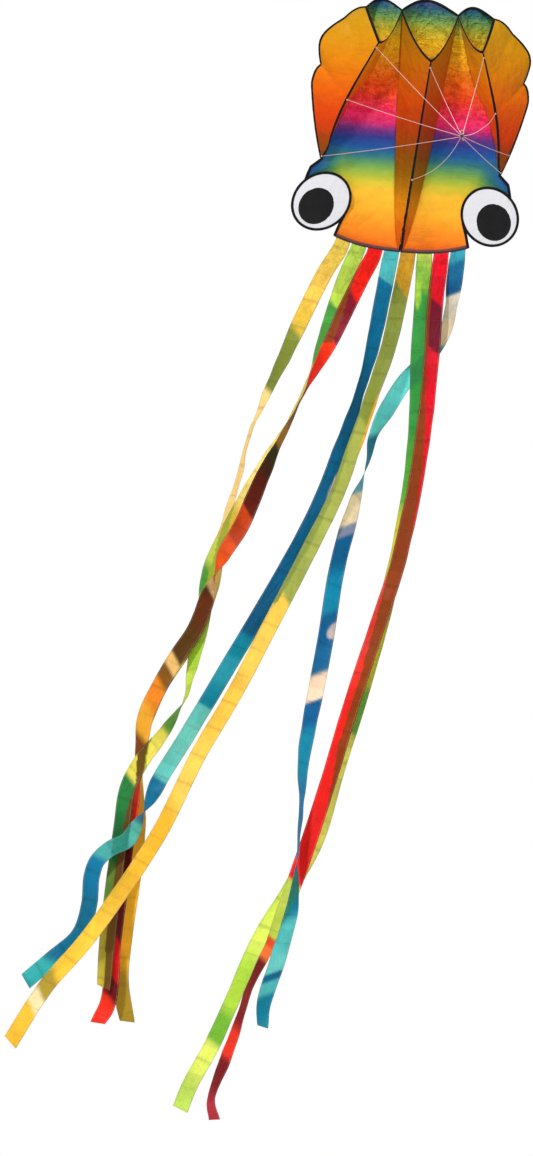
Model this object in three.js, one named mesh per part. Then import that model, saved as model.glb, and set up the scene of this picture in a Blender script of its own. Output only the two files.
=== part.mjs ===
// Octopus kite: a soft foil head with three open keels, two eyes, a bridle and eight ribbon tails.
// Units are millimetres. The origin is the tow point, where the bridle legs meet. +Z is up and the
// bridle side of the head faces -Y. The head is symmetrical about x = 0. "Height" is measured up
// from the centre of the hem, and "back" is the distance behind the sail's sloping plane.
import * as THREE from 'three';

// Head
const HEM_BACK = 1200;             // the hem's centre is this far behind the tow point
const HEM_DROP = 355;              // and this far below it
const LEAN = 0.27;                 // the sail comes forward this much for each unit of height
const HEM_HALF_WIDTH = 235;
const HEM_CORNER_LIFT = 34;        // how far the hem curves up at its corners
const HEM_CURVE_POWER = 2.5;
const HEM_BAND = 12;               // height of the folded hem
const HEM_END_GAP = 12;            // it stops short of the edge binding
const HEM_FADE_HEIGHT = 100;       // rows of the sail are level again from here up
const GATHER_X = 98;               // where the leading edge is gathered between the cells
const GATHER_HEIGHT = 817;
const ROOT_POWER = 0.55;           // shape of the centre keel's seam
const CENTRE_DOME_RISE = 47;
const SIDE_DOME_RISE = 36;
const DOME_POWER = 8;              // the domes only show near the leading edge
const CENTRE_BULGE = 90;
const SIDE_BULGE = 75;
const SIDE_BULGE_POWER = 0.8;      // how soon a side cell fills out above the waist
const WEDGE_BULGE = 16;
const SMALL_EDGE_GAP = 0.4;
const CLOTH = 1;                   // thickness that stands for a ply of sailcloth
const SEAM = 2;                    // cloth stops this far short of a seam, so that panels stay apart
const FRONT_PLY = -1.8;            // the front panels' seams lie this far in front of the sail

// Keels
const CENTRE_KEEL_DEPTH = 170;
const CENTRE_KEEL_HEIGHT = 649;
const KEEL_START_HEIGHT = 18;
const PANEL_BULGE = 12;
const PANEL_COLUMNS = 8;
const CENTRE_DIPS = [26, 26];      // how far a mouth's edge curves down in the middle of each panel
const SIDE_DIPS = [30, 5];
const MOUTH_DIP_POWER = 5;         // how quickly that curve fades away from the mouth
const RIDGE_TAPE = 5;              // reach of the folded tape on each side of a ridge
const TAPE_GAP = 1.5;
const MOUTH_BAND = [0.984, 1];     // share of a keel's length that its mouth binding covers
const PANEL_SHARE = [0.05, 0.978]; // share of a keel's length that its panels cover
const KEEL_SHARES = [...shares(18, PANEL_SHARE[0], 0.95), PANEL_SHARE[1]];
const MOUTH_END_GAP = 8;
const BINDING_IN = 5;              // the edge binding reaches this far inside the outline
const BINDING_OUT = 4;
const BINDING_THICKNESS = 3;
const LEADING_REACH = [-4.5, 4];   // the leading edge's binding, below and above the edge
const MITRE_LIMIT = 0.5;           // keeps offset corners from running out to a spike
const EDGE_INSET = 6.5;            // cloth stops this far inside the outline

// Rows and columns of the cloth surfaces: heights in mm above the hem, or counts
const CENTRE_ROWS = [20, 50, 90, 140, 200, 280, 360, 440, 520, 600, 680, 750];
const WEDGE_ROWS_BELOW_EAR = [35, 60, 80, 100];
const WEDGE_ROWS_ABOVE_EAR = [310, 340, 400, 460, 520, 580, 640, 700, 750, 790, 806];
const SIDE_CELL_ROWS = 19;
const CENTRE_COLUMNS = 10;
const CLOTH_COLUMNS = 8;
const HEM_STEPS = 24;

// Eyes
const EYE_X = 295;
const EYE_HEIGHT = 148;
const EYE_FORWARD = 5;
const EYE_RADIUS = [112, 99];
const EYE_TURN = 50;               // degrees from level to the eye's long axis, top towards the middle
const EYE_RIM = 10.5;
const PUPIL_RADIUS = [68, 59.5];
const PUPIL_TURN = 60;
const PUPIL_OUT = 15;
const PUPIL_DOWN = 17;
const DISC_STEPS = 20;

// Bridle and tow point
const CORD_DIAMETER = 1.8;
const CORD_SIDES = 8;
const KNOT_RADIUS = 5.5;
const LOOP_RADIUS = 6;
const LOOP_CORD = 1.2;
const LEG_START = 7.5;             // the legs start this far behind the tow point
const LEG_SPACING = 2.3;
const LEG_END_GAP = 2.2;
const SLACK_STEPS = 24;
const KNOT_STEPS = [12, 8];
const LOOP_STEPS = [6, 16];

// Tails
const TAIL_WIDTH = 56;
const TAIL_TOP_WIDTH = 53;         // a tail is eased in a little where it is sewn to the hem
const TAIL_PITCH = 57.5;
const TAIL_GAP = 1.5;              // between the hem and a tail's top edge
const TAIL_STEPS = 2;              // rows of a tail between two points of its route

const CLOTH_ROUGHNESS = 0.6;
const COLOURS = {
  sail: 0xe8752a, wedge: 0xd94a5e, panel: 0xe07f12, binding: 0x141414, hem: 0x4a1420,
  white: 0xe9e9ec, cord: 0xe6d9d6, knot: 0x2a2628,
  yellow: 0xffd24a, lime: 0xc6e25a, red: 0xe8202c, teal: 0x1aa0b8,
};

// Right half of the outline from the hem corner up to the waist: lower side, ear and waist.
const LOWER_SIDE = [[235, 34], [222, 76], [205, 120], [360, 210], [353, 238], [345, 262], [312, 291]];
const LOWER_CORNER = 2;            // the inner corner's place in that list
// Right half of the outline above the waist: three lobes between the notches.
const LOBES = [
  [[312, 291], [337, 368], [358, 450], [374, 530], [376, 552], [368, 590], [352, 610]],
  [[352, 610], [361, 642], [366, 680], [357, 711], [330, 742], [292, 772]],
  [[292, 772], [268, 797], [243, 812], [220, 816]],
];
const LOBE_STEPS = [20, 12, 8];    // steps along each lobe; every second one is a row of the panels
const LOBE_END_X = LOBES[2][3][0]; // where the lobed edge meets the leading edge
const ALL_LOBE_STEPS = LOBE_STEPS.reduce((sum, steps) => sum + steps);
// Inner seam of the right side keel, from the waist up to the gather.
const SIDE_ROOT = [[312, 291], [285, 385], [265, 430], [250, 470], [227, 519], [192, 570], [163, 632],
  [98, 817]];
// Ridge of the right side keel: x, height and depth in front of the sail.
const SIDE_RIDGE = [[312, 291, 2], [300, 318, 20], [285, 400, 42], [260, 493, 68], [179, 697, 123]];

// Routes of the tails' centre lines: x, z, back and twist in degrees, chosen by hand.
const TAILS = [
  { name: 'tail_1_yellow', colour: 'yellow', route: [[-212, -370, 8, 0], [-250, -445, 20, 0],
    [-320, -625, 36, 15], [-390, -825, 54, 60], [-445, -985, 66, 84], [-485, -1195, 80, 80],
    [-525, -1405, 84, 60], [-545, -1565, 76, 25], [-580, -1695, 70, 5], [-630, -1805, 66, 0],
    [-685, -1905, 64, -5], [-725, -2015, 62, -15], [-745, -2135, 62, -50], [-735, -2255, 62, -60],
    [-725, -2415, 62, -20], [-730, -2605, 60, 0], [-740, -2775, 58, 15], [-740, -2950, 56, 5],
    [-705, -3085, 55, -20]] },
  { name: 'tail_2_lime', colour: 'lime', route: [[-154, -380, 5, 0], [-180, -460, 14, 0],
    [-220, -635, 34, 20], [-266, -810, 58, 84], [-328, -975, 54, 86], [-442, -1225, 42, 15],
    [-535, -1435, 36, 20], [-565, -1540, 38, 40], [-565, -1660, 38, 38], [-580, -1765, 32, 40],
    [-595, -1870, 12, 65], [-610, -1955, -12, 85], [-665, -2060, -34, 140], [-740, -2170, -42, 170],
    [-785, -2275, -42, 190], [-795, -2415, -34, 205], [-805, -2605, -36, 190],
    [-810, -2830, -38, 170], [-810, -2970, -38, 150]] },
  { name: 'tail_3_red', colour: 'red', route: [[-95, -385, 0, 0], [-125, -455, 0, 0],
    [-175, -580, -4, 10], [-230, -725, -10, 45], [-280, -840, -14, 88], [-318, -945, -10, 104],
    [-366, -1055, -5, 124], [-410, -1170, -5, 158], [-470, -1350, -5, 190], [-525, -1460, -6, 225],
    [-555, -1550, -8, 300], [-570, -1625, -8, 355], [-600, -1720, -8, 360], [-650, -1810, -8, 360],
    [-700, -1915, -8, 365], [-740, -2020, -8, 372], [-750, -2135, -6, 410], [-750, -2255, -4, 430],
    [-765, -2395, -2, 395], [-775, -2570, -4, 370], [-785, -2810, -6, 350],
    [-785, -3020, -8, 360], [-815, -3095, -10, 400]] },
  { name: 'tail_4_blue', colour: 'teal', route: [[-34, -390, -4, 0], [-46, -500, -8, -5],
    [-68, -675, -18, -25], [-100, -850, -26, -50], [-155, -1065, -32, -25], [-212, -1260, -38, 0],
    [-310, -1490, -40, 0], [-450, -1780, -42, 0], [-600, -2085, -48, 0], [-680, -2240, -56, 5],
    [-710, -2320, -66, 60], [-740, -2385, -72, 130], [-775, -2455, -74, 180],
    [-830, -2490, -70, 195], [-870, -2535, -62, 205], [-885, -2590, -55, 195],
    [-885, -2690, -50, 180], [-910, -2795, -46, 180], [-1000, -2890, -42, 190],
    [-1080, -2970, -40, 180]] },
  { name: 'tail_5_yellow', colour: 'yellow', route: [[25, -390, -8, 0], [12, -495, -18, 0],
    [-14, -670, -38, 30], [-59, -845, -58, 38], [-114, -1060, -68, 38], [-159, -1220, -72, 34],
    [-232, -1400, -74, 20], [-350, -1685, -78, 0], [-450, -1920, -84, 0], [-555, -2135, -92, 0],
    [-670, -2420, -102, 0], [-775, -2615, -108, 5], [-895, -2815, -104, 15],
    [-1015, -2980, -96, -10], [-1120, -3180, -92, 10]] },
  { name: 'tail_6_lime', colour: 'lime', route: [[88, -390, 5, 0], [95, -520, 14, 0],
    [100, -725, 24, 26], [115, -970, 32, 30], [110, -1175, 34, 30], [90, -1390, 34, 28],
    [52, -1635, 34, 24], [5, -1880, 32, 20], [-55, -2145, 32, 10], [-110, -2410, 30, 0],
    [-190, -2590, 32, -15], [-270, -2755, 38, 0], [-340, -2950, 40, 35], [-405, -3135, 34, 15],
    [-475, -3290, 26, 0], [-500, -3370, 22, 10]] },
  { name: 'tail_7_red', colour: 'red', route: [[142, -395, -4, 0], [137, -515, -7, 0],
    [140, -725, -12, 26], [135, -970, -14, 30], [120, -1175, -14, 30], [85, -1425, -14, 28],
    [28, -1670, -13, 18], [-35, -1935, -12, 0], [-90, -2200, -12, 0], [-135, -2395, -10, 5],
    [-180, -2570, -10, 15], [-240, -2770, -14, 60], [-300, -2930, -14, 75], [-355, -3160, -8, 55],
    [-400, -3320, -4, 70], [-380, -3395, -2, 50]] },
  { name: 'tail_8_blue', colour: 'teal', route: [[201, -375, 2, 5], [200, -440, 10, 15],
    [200, -525, 28, 55], [185, -630, 58, 50], [130, -720, 70, 20], [65, -800, 68, 5],
    [15, -890, 52, 10], [-30, -985, 30, 60], [-50, -1095, 10, 88], [-75, -1210, -10, 135],
    [-105, -1335, -22, 175], [-130, -1495, -30, 180], [-145, -1700, -35, 185],
    [-165, -1895, -42, 195], [-185, -2085, -48, 225], [-185, -2275, -54, 258],
    [-180, -2465, -60, 275], [-185, -2655, -62, 330], [-215, -2815, -56, 360],
    [-250, -2975, -48, 340], [-250, -3060, -44, 320]] },
];

const kite = new THREE.Group();

function material(colour, roughness = CLOTH_ROUGHNESS) {
  const options = { color: COLOURS[colour], roughness, metalness: 0, side: THREE.DoubleSide };
  return new THREE.MeshStandardMaterial(options);
}

function addMesh(name, geometry, colour) {
  const mesh = new THREE.Mesh(geometry, material(colour));
  mesh.name = name;
  kite.add(mesh);
  return mesh;
}

function mix(a, b, share) {
  return a + (b - a) * share;
}

function arch(share) {
  return 4 * share * (1 - share);
}

function shares(count, from = 0, to = 1) {
  return Array.from({ length: count + 1 }, (_, i) => mix(from, to, i / count));
}

function sailPoint(x, height, back = 0) {
  return new THREE.Vector3(x, HEM_BACK - LEAN * height + back, height - HEM_DROP);
}

function hemLift(x) {
  return HEM_CORNER_LIFT * Math.pow(Math.abs(x) / HEM_HALF_WIDTH, HEM_CURVE_POWER);
}

function centreRootX(height) {
  return GATHER_X * Math.pow(height / GATHER_HEIGHT, ROOT_POWER);
}

// A closed thin body around a grid of points, half the thickness to each side of it.
function sheetSolid(rows, thickness) {
  const height = rows.length;
  const width = rows[0].length;
  const at = (i, j) => rows[Math.min(Math.max(i, 0), height - 1)][Math.min(Math.max(j, 0), width - 1)];
  const positions = [];
  for (const side of [1, -1]) {
    for (let i = 0; i < height; i += 1) {
      for (let j = 0; j < width; j += 1) {
        const along = at(i + 1, j).clone().sub(at(i - 1, j));
        const across = at(i, j + 1).clone().sub(at(i, j - 1));
        const normal = along.cross(across).normalize();
        const point = at(i, j).clone().addScaledVector(normal, side * thickness / 2);
        positions.push(point.x, point.y, point.z);
      }
    }
  }
  const layer = height * width;
  const faces = [];
  const quad = (a, b, c, d) => faces.push(a, b, c, a, c, d);
  for (let i = 0; i < height - 1; i += 1) {
    for (let j = 0; j < width - 1; j += 1) {
      const a = i * width + j;
      quad(a, a + width, a + width + 1, a + 1);
      quad(layer + a, layer + a + 1, layer + a + width + 1, layer + a + width);
    }
  }
  const border = [];
  for (let j = 0; j < width - 1; j += 1) border.push(j);
  for (let i = 0; i < height - 1; i += 1) border.push(i * width + width - 1);
  for (let j = width - 1; j > 0; j -= 1) border.push((height - 1) * width + j);
  for (let i = height - 1; i > 0; i -= 1) border.push(i * width);
  border.forEach((a, k) => {
    const b = border[(k + 1) % border.length];
    quad(a, b, layer + b, layer + a);
  });
  return outwardGeometry(positions, faces);
}

// Turns the faces round where the body's signed volume comes out negative.
function outwardGeometry(positions, faces) {
  let volume = 0;
  const corner = (k) => new THREE.Vector3().fromArray(positions, faces[k] * 3);
  for (let k = 0; k < faces.length; k += 3) {
    volume += corner(k).dot(corner(k + 1).cross(corner(k + 2)));
  }
  const index = volume > 0 ? faces : faces.slice().reverse();
  const geometry = new THREE.BufferGeometry();
  geometry.setAttribute('position', new THREE.Float32BufferAttribute(positions, 3));
  geometry.setIndex(index);
  geometry.computeVertexNormals();
  return geometry;
}

// Points across a keel panel from its seam to its ridge, with a gap left at each end. The panel
// bulges forward in the middle, more towards the mouth, where its edge also dips.
function panelRow(seam, ridge, seamGap, ridgeGap, columns, keelShare, dip) {
  const length = seam.distanceTo(ridge);
  return shares(columns, seamGap / length, 1 - ridgeGap / length).map((across) => {
    const point = seam.clone().lerp(ridge, across);
    point.y -= PANEL_BULGE * keelShare * arch(across);
    point.z -= dip * Math.pow(keelShare, MOUTH_DIP_POWER) * arch(across);
    return point;
  });
}

// A flat outline moved sideways, outward where the distance is positive, with mitred corners.
function offsetOutline(points, distance) {
  return points.map((point, i) => {
    const before = points[Math.max(i - 1, 0)];
    const after = points[Math.min(i + 1, points.length - 1)];
    const inward = new THREE.Vector2().subVectors(point, before);
    const outward = new THREE.Vector2().subVectors(after, point);
    if (inward.length() === 0) inward.copy(outward);
    if (outward.length() === 0) outward.copy(inward);
    const middle = inward.normalize().clone().add(outward.normalize()).normalize();
    const normal = new THREE.Vector2(middle.y, -middle.x);
    return point.clone().addScaledVector(normal, distance / Math.max(middle.dot(outward), MITRE_LIMIT));
  });
}

function toVectors(pairs) {
  return pairs.map(([x, height]) => new THREE.Vector2(x, height));
}

function lobePoints() {
  return LOBES.flatMap((lobe, i) => {
    const points = new THREE.SplineCurve(toVectors(lobe)).getSpacedPoints(LOBE_STEPS[i]);
    return i === 0 ? points : points.slice(1);
  });
}

function xAtHeight(points, height) {
  for (let i = 0; i < points.length - 1; i += 1) {
    const low = points[i];
    const high = points[i + 1];
    if (height <= high.y) return mix(low.x, high.x, (height - low.y) / (high.y - low.y));
  }
  return points[points.length - 1].x;
}

const lobes = lobePoints();
const sideOutline = [...toVectors(LOWER_SIDE), ...lobes.slice(1)];
const clothOutline = offsetOutline(sideOutline, -EDGE_INSET);
const lowerClothEdge = clothOutline.slice(0, LOWER_SIDE.length);
const upperClothEdge = clothOutline.slice(LOWER_SIDE.length - 1);
const sideRoot = new THREE.SplineCurve(toVectors(SIDE_ROOT));
const sideRidge = new THREE.CatmullRomCurve3(SIDE_RIDGE.map((point) => new THREE.Vector3(...point)));

function outerEdgeAt(share) {
  const place = share * ALL_LOBE_STEPS;
  const i = Math.min(Math.floor(place), ALL_LOBE_STEPS - 1);
  return upperClothEdge[i].clone().lerp(upperClothEdge[i + 1], place - i);
}

// Back of the centre cell, a tapering gore that bulges behind the centre keel.
function centreCellBack() {
  const rows = [...CENTRE_ROWS, GATHER_HEIGHT - EDGE_INSET].map((height) => {
    const half = centreRootX(height) - SEAM;
    const grown = height / GATHER_HEIGHT;
    return shares(CENTRE_COLUMNS).map((share) => {
      const rise = CENTRE_DOME_RISE * Math.sin(Math.PI * share) * Math.pow(grown, DOME_POWER);
      const back = CENTRE_BULGE * grown * arch(share);
      return sailPoint(mix(-half, half, share), height + rise, back);
    });
  });
  addMesh('centre_cell_back', sheetSolid(rows, CLOTH), 'sail');
}

// The part of the sail between the centre keel and a side keel, down to the hem and out to the ear.
function wedgeGore(side, name) {
  const earRows = lowerClothEdge.slice(LOWER_CORNER).map((point) => point.y);
  const levels = [HEM_BAND + TAPE_GAP, ...WEDGE_ROWS_BELOW_EAR, ...earRows, ...WEDGE_ROWS_ABOVE_EAR];
  const rootPoints = sideRoot.getSpacedPoints(ALL_LOBE_STEPS);
  const waist = LOWER_SIDE[LOWER_SIDE.length - 1][1];
  const rows = levels.map((level) => {
    const fade = Math.max(0, (HEM_FADE_HEIGHT - level) / (HEM_FADE_HEIGHT - HEM_BAND));
    const outerAt = (height) => Math.min(
      xAtHeight(clothOutline, height),
      height < waist ? Infinity : xAtHeight(rootPoints, height) - SEAM,
    );
    const outer = outerAt(level + hemLift(outerAt(level)) * fade);
    const inner = centreRootX(level) + SEAM;
    return shares(CLOTH_COLUMNS).map((share) => {
      const x = mix(inner, outer, share);
      const back = WEDGE_BULGE * arch(share) * Math.min(1, (outer - inner) / GATHER_X);
      return sailPoint(side * x, level + hemLift(x) * fade, back);
    });
  });
  addMesh(name, sheetSolid(rows, CLOTH), 'wedge');
}

// Back of a side cell, from its inner seam to the lobed outer edge.
function sideCellBack(side, name) {
  const rows = shares(SIDE_CELL_ROWS, PANEL_SHARE[0], 1).map((share) => {
    const root = sideRoot.getPointAt(share);
    const outer = outerEdgeAt(share);
    const inner = root.x + SEAM;
    const top = Math.min(root.y, GATHER_HEIGHT - EDGE_INSET);
    return shares(CLOTH_COLUMNS).map((across) => {
      const rise = SIDE_DOME_RISE * Math.sin(Math.PI * across) * Math.pow(share, DOME_POWER);
      const back = SIDE_BULGE * Math.pow(share, SIDE_BULGE_POWER) * arch(across);
      return sailPoint(side * mix(inner, outer.x, across), mix(top, outer.y, across) + rise, back);
    });
  });
  addMesh(name, sheetSolid(rows, CLOTH), 'sail');
}

// Each keel gives the three lines that its panels run between, at a share of its length.
const centreKeel = {
  name: 'centre_keel',
  dips: CENTRE_DIPS,
  ridge: (share) => {
    const height = mix(KEEL_START_HEIGHT, CENTRE_KEEL_HEIGHT, share);
    const depth = CENTRE_KEEL_DEPTH * height / CENTRE_KEEL_HEIGHT;
    return sailPoint(0, height, FRONT_PLY - depth);
  },
  first: (share) => centreKeelRoot(-1, share),
  second: (share) => centreKeelRoot(1, share),
};

function centreKeelRoot(side, share) {
  const height = mix(KEEL_START_HEIGHT, GATHER_HEIGHT, share);
  return sailPoint(side * centreRootX(height), height, FRONT_PLY);
}

function sideKeel(side, name) {
  return {
    name,
    dips: SIDE_DIPS,
    ridge: (share) => {
      const point = sideRidge.getPointAt(share);
      return sailPoint(side * point.x, point.y, FRONT_PLY - point.z);
    },
    first: (share) => {
      const point = sideRoot.getPointAt(share);
      return sailPoint(side * point.x, point.y, FRONT_PLY);
    },
    second: (share) => {
      const point = outerEdgeAt(share);
      return sailPoint(side * point.x, point.y, FRONT_PLY);
    },
  };
}

function keelPanel(keel, line, dip, name) {
  const ridgeGap = RIDGE_TAPE + TAPE_GAP;
  const rows = KEEL_SHARES.map((share) => (
    panelRow(line(share), keel.ridge(share), SEAM, ridgeGap, PANEL_COLUMNS, share, dip)));
  addMesh(name, sheetSolid(rows, CLOTH), 'panel');
}

function keelRidgeTape(keel) {
  const rows = KEEL_SHARES.map((share) => {
    const ridge = keel.ridge(share);
    const sides = [keel.first, keel.second].map((line, k) => (
      panelRow(line(share), ridge, 0, RIDGE_TAPE, 1, share, keel.dips[k])[1]));
    return [sides[0], ridge, sides[1]];
  });
  addMesh(`${keel.name}_ridge_tape`, sheetSolid(rows, CLOTH), 'binding');
}

function keelMouthBinding(keel) {
  const rows = MOUTH_BAND.map((share) => {
    const ridge = keel.ridge(share);
    const halves = [keel.first, keel.second].map((line, k) => (
      panelRow(line(share), ridge, MOUTH_END_GAP, 0, PANEL_COLUMNS, share, keel.dips[k])));
    const [first, second] = halves;
    return [...first, ...second.slice(0, -1).reverse()];
  });
  addMesh(`${keel.name}_mouth_binding`, sheetSolid(rows, CLOTH), 'binding');
}

function wholeKeel(keel, panelNames) {
  keelPanel(keel, keel.first, keel.dips[0], panelNames[0]);
  keelPanel(keel, keel.second, keel.dips[1], panelNames[1]);
  keelRidgeTape(keel);
  keelMouthBinding(keel);
}

// Black binding along the lobed outer edge, the waist, the ear and the lower side.
function edgeBinding(side, name) {
  const inner = offsetOutline(sideOutline, -BINDING_IN);
  const outer = offsetOutline(sideOutline, BINDING_OUT);
  const rows = sideOutline.map((_, i) => [inner[i], outer[i]].map((point) => (
    sailPoint(side * point.x, point.y, FRONT_PLY / 2))));
  addMesh(name, sheetSolid(rows, BINDING_THICKNESS), 'binding');
}

// The leading edge's points over one cell: a dome in height that also bulges back.
function leadingEdgeArc(fromX, toX, rise, bulge, count) {
  return shares(count).map((share) => ({
    x: mix(fromX, toX, share),
    height: GATHER_HEIGHT + rise * Math.sin(Math.PI * share),
    back: bulge * arch(share),
  }));
}

function leadingEdgeBinding() {
  const end = LOBE_END_X - MOUTH_END_GAP;
  const points = [
    ...leadingEdgeArc(-end, -GATHER_X, SIDE_DOME_RISE, SIDE_BULGE, CLOTH_COLUMNS),
    ...leadingEdgeArc(-GATHER_X, GATHER_X, CENTRE_DOME_RISE, CENTRE_BULGE, CENTRE_COLUMNS).slice(1),
    ...leadingEdgeArc(GATHER_X, end, SIDE_DOME_RISE, SIDE_BULGE, CLOTH_COLUMNS).slice(1),
  ];
  const rows = points.map(({ x, height, back }) => (
    LEADING_REACH.map((reach) => sailPoint(x, height + reach, back))));
  addMesh('leading_edge_binding', sheetSolid(rows, CLOTH), 'binding');
}

function hemBand() {
  const half = HEM_HALF_WIDTH - HEM_END_GAP;
  const rows = shares(HEM_STEPS, -half, half).map((x) => (
    [hemLift(x), hemLift(x) + HEM_BAND].map((height) => sailPoint(x, height))));
  addMesh('trailing_hem', sheetSolid(rows, CLOTH), 'hem');
}

function ellipse(radiusX, radiusY, turn, shape = new THREE.Shape()) {
  shape.absellipse(0, 0, radiusX, radiusY, 0, 2 * Math.PI, false, turn);
  return shape;
}

// Flat cloth discs lie in planes that lean as the sail does.
function addDisc(name, shape, thickness, colour, centre) {
  const options = { depth: thickness, bevelEnabled: false, curveSegments: DISC_STEPS };
  const disc = addMesh(name, new THREE.ExtrudeGeometry(shape, options), colour);
  disc.position.copy(centre);
  disc.rotation.x = Math.PI / 2 + Math.atan(LEAN);
}

function eye(side, name) {
  const [radiusX, radiusY] = EYE_RADIUS;
  const centre = sailPoint(side * EYE_X, EYE_HEIGHT, -EYE_FORWARD);
  const clothX = radiusX - EYE_RIM - SMALL_EDGE_GAP;
  const clothY = radiusY - EYE_RIM - SMALL_EDGE_GAP;
  const turn = THREE.MathUtils.degToRad(-side * EYE_TURN);
  const pupilTurn = THREE.MathUtils.degToRad(-side * PUPIL_TURN);
  addDisc(`${name}_white`, ellipse(clothX, clothY, turn), CLOTH, 'white', centre);
  const rim = ellipse(radiusX, radiusY, turn);
  rim.holes.push(ellipse(radiusX - EYE_RIM, radiusY - EYE_RIM, turn, new THREE.Path()));
  addDisc(`${name}_rim`, rim, CLOTH, 'binding', centre);
  const pupilBack = -EYE_FORWARD - (CLOTH + SMALL_EDGE_GAP) * Math.hypot(1, LEAN);
  const pupilCentre = sailPoint(side * (EYE_X + PUPIL_OUT), EYE_HEIGHT - PUPIL_DOWN, pupilBack);
  addDisc(`${name}_pupil`, ellipse(...PUPIL_RADIUS, pupilTurn), CLOTH, 'binding', pupilCentre);
}

function cordSection() {
  const radius = CORD_DIAMETER / 2;
  const corners = shares(CORD_SIDES).slice(1).map((share) => (
    new THREE.Vector2(radius * Math.cos(2 * Math.PI * share), radius * Math.sin(2 * Math.PI * share))));
  return new THREE.Shape(corners);
}

// A leg runs from its place in the bundle behind the knot to a point just in front of the head.
function bridleLeg(name, place, end, slack = []) {
  const start = new THREE.Vector3(place[0] * LEG_SPACING, LEG_START, place[1] * LEG_SPACING);
  const stop = end.clone();
  stop.y -= LEG_END_GAP;
  const points = [start, ...slack.map((point) => new THREE.Vector3(...point)), stop];
  const path = slack.length ? new THREE.CatmullRomCurve3(points) : new THREE.LineCurve3(start, stop);
  const options = { steps: slack.length ? SLACK_STEPS : 1, bevelEnabled: false, extrudePath: path };
  addMesh(name, new THREE.ExtrudeGeometry(cordSection(), options), 'cord');
}

function edgeAttachment(side, height) {
  const points = sideOutline.slice(LOWER_SIDE.length - 1);
  return sailPoint(side * (xAtHeight(points, height) - 1), height, FRONT_PLY);
}

function bridle(leftKeel, rightKeel) {
  bridleLeg('bridle_left_top', [-1, 1], leftKeel.ridge(0.95));
  bridleLeg('bridle_left_middle', [-1, 0], leftKeel.ridge(0.5));
  bridleLeg('bridle_left_low', [-1, -1], edgeAttachment(-1, 300));
  bridleLeg('bridle_centre_top', [0, 1], centreKeel.ridge(0.96));
  bridleLeg('bridle_centre_low', [0, -0.5], centreKeel.ridge(0.36),
    [[12, 260, -40], [20, 560, -73], [17, 850, -96]]);
  bridleLeg('bridle_right_top', [1, 1], rightKeel.ridge(0.95));
  bridleLeg('bridle_right_middle', [1, 0], rightKeel.ridge(0.5),
    [[77, 260, 25], [149, 540, 62], [211, 800, 97]]);
  bridleLeg('bridle_right_edge', [2, -0.3], edgeAttachment(1, 362));
  bridleLeg('bridle_right_low', [1, -1], edgeAttachment(1, 300));
}

function towPoint() {
  addMesh('tow_knot', new THREE.SphereGeometry(KNOT_RADIUS, ...KNOT_STEPS), 'knot');
  const loop = addMesh('tow_loop', new THREE.TorusGeometry(LOOP_RADIUS, LOOP_CORD, ...LOOP_STEPS), 'cord');
  loop.rotation.x = Math.PI / 2;
  loop.position.z = KNOT_RADIUS + LOOP_RADIUS + LOOP_CORD + SMALL_EDGE_GAP;
}

function twistAt(values, place) {
  const i = Math.min(Math.floor(place), values.length - 2);
  return THREE.MathUtils.degToRad(mix(values[i], values[i + 1], place - i));
}

// A ribbon whose top edge follows the hem and whose width turns about its centre line.
function tail(index) {
  const { name, colour, route } = TAILS[index];
  const topX = (index - (TAILS.length - 1) / 2) * TAIL_PITCH;
  const top = sailPoint(topX, hemLift(topX) - TAIL_GAP);
  const points = [top, ...route.map(([x, z, back]) => new THREE.Vector3(x, HEM_BACK + back, z))];
  const twists = [0, ...route.map((point) => point[3])];
  const path = new THREE.CatmullRomCurve3(points, false, 'centripetal');
  const firstRow = [-TAIL_TOP_WIDTH / 2, TAIL_TOP_WIDTH / 2].map((reach) => (
    sailPoint(topX + reach, hemLift(topX + reach) - TAIL_GAP)));
  const rows = shares((points.length - 1) * TAIL_STEPS).slice(1).map((share) => {
    const centre = path.getPoint(share);
    const along = path.getTangent(share);
    const across = new THREE.Vector3(-along.z, 0, along.x).normalize();
    across.applyAxisAngle(along, twistAt(twists, share * (points.length - 1)));
    return [-TAIL_WIDTH / 2, TAIL_WIDTH / 2].map((reach) => centre.clone().addScaledVector(across, reach));
  });
  addMesh(name, sheetSolid([firstRow, ...rows], CLOTH), colour);
}

const leftKeel = sideKeel(-1, 'left_keel');
const rightKeel = sideKeel(1, 'right_keel');
centreCellBack();
wedgeGore(-1, 'left_wedge_gore');
wedgeGore(1, 'right_wedge_gore');
sideCellBack(-1, 'left_cell_back');
sideCellBack(1, 'right_cell_back');
wholeKeel(centreKeel, ['centre_keel_left_panel', 'centre_keel_right_panel']);
wholeKeel(leftKeel, ['left_keel_inner_panel', 'left_keel_outer_panel']);
wholeKeel(rightKeel, ['right_keel_inner_panel', 'right_keel_outer_panel']);
edgeBinding(-1, 'left_edge_binding');
edgeBinding(1, 'right_edge_binding');
leadingEdgeBinding();
hemBand();
eye(-1, 'left_eye');
eye(1, 'right_eye');
bridle(leftKeel, rightKeel);
towPoint();
TAILS.forEach((_, index) => tail(index));

export default kite;
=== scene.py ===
import math

import bpy
import numpy as np
from mathutils import Matrix, Vector
from mathutils.bvhtree import BVHTree


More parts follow.
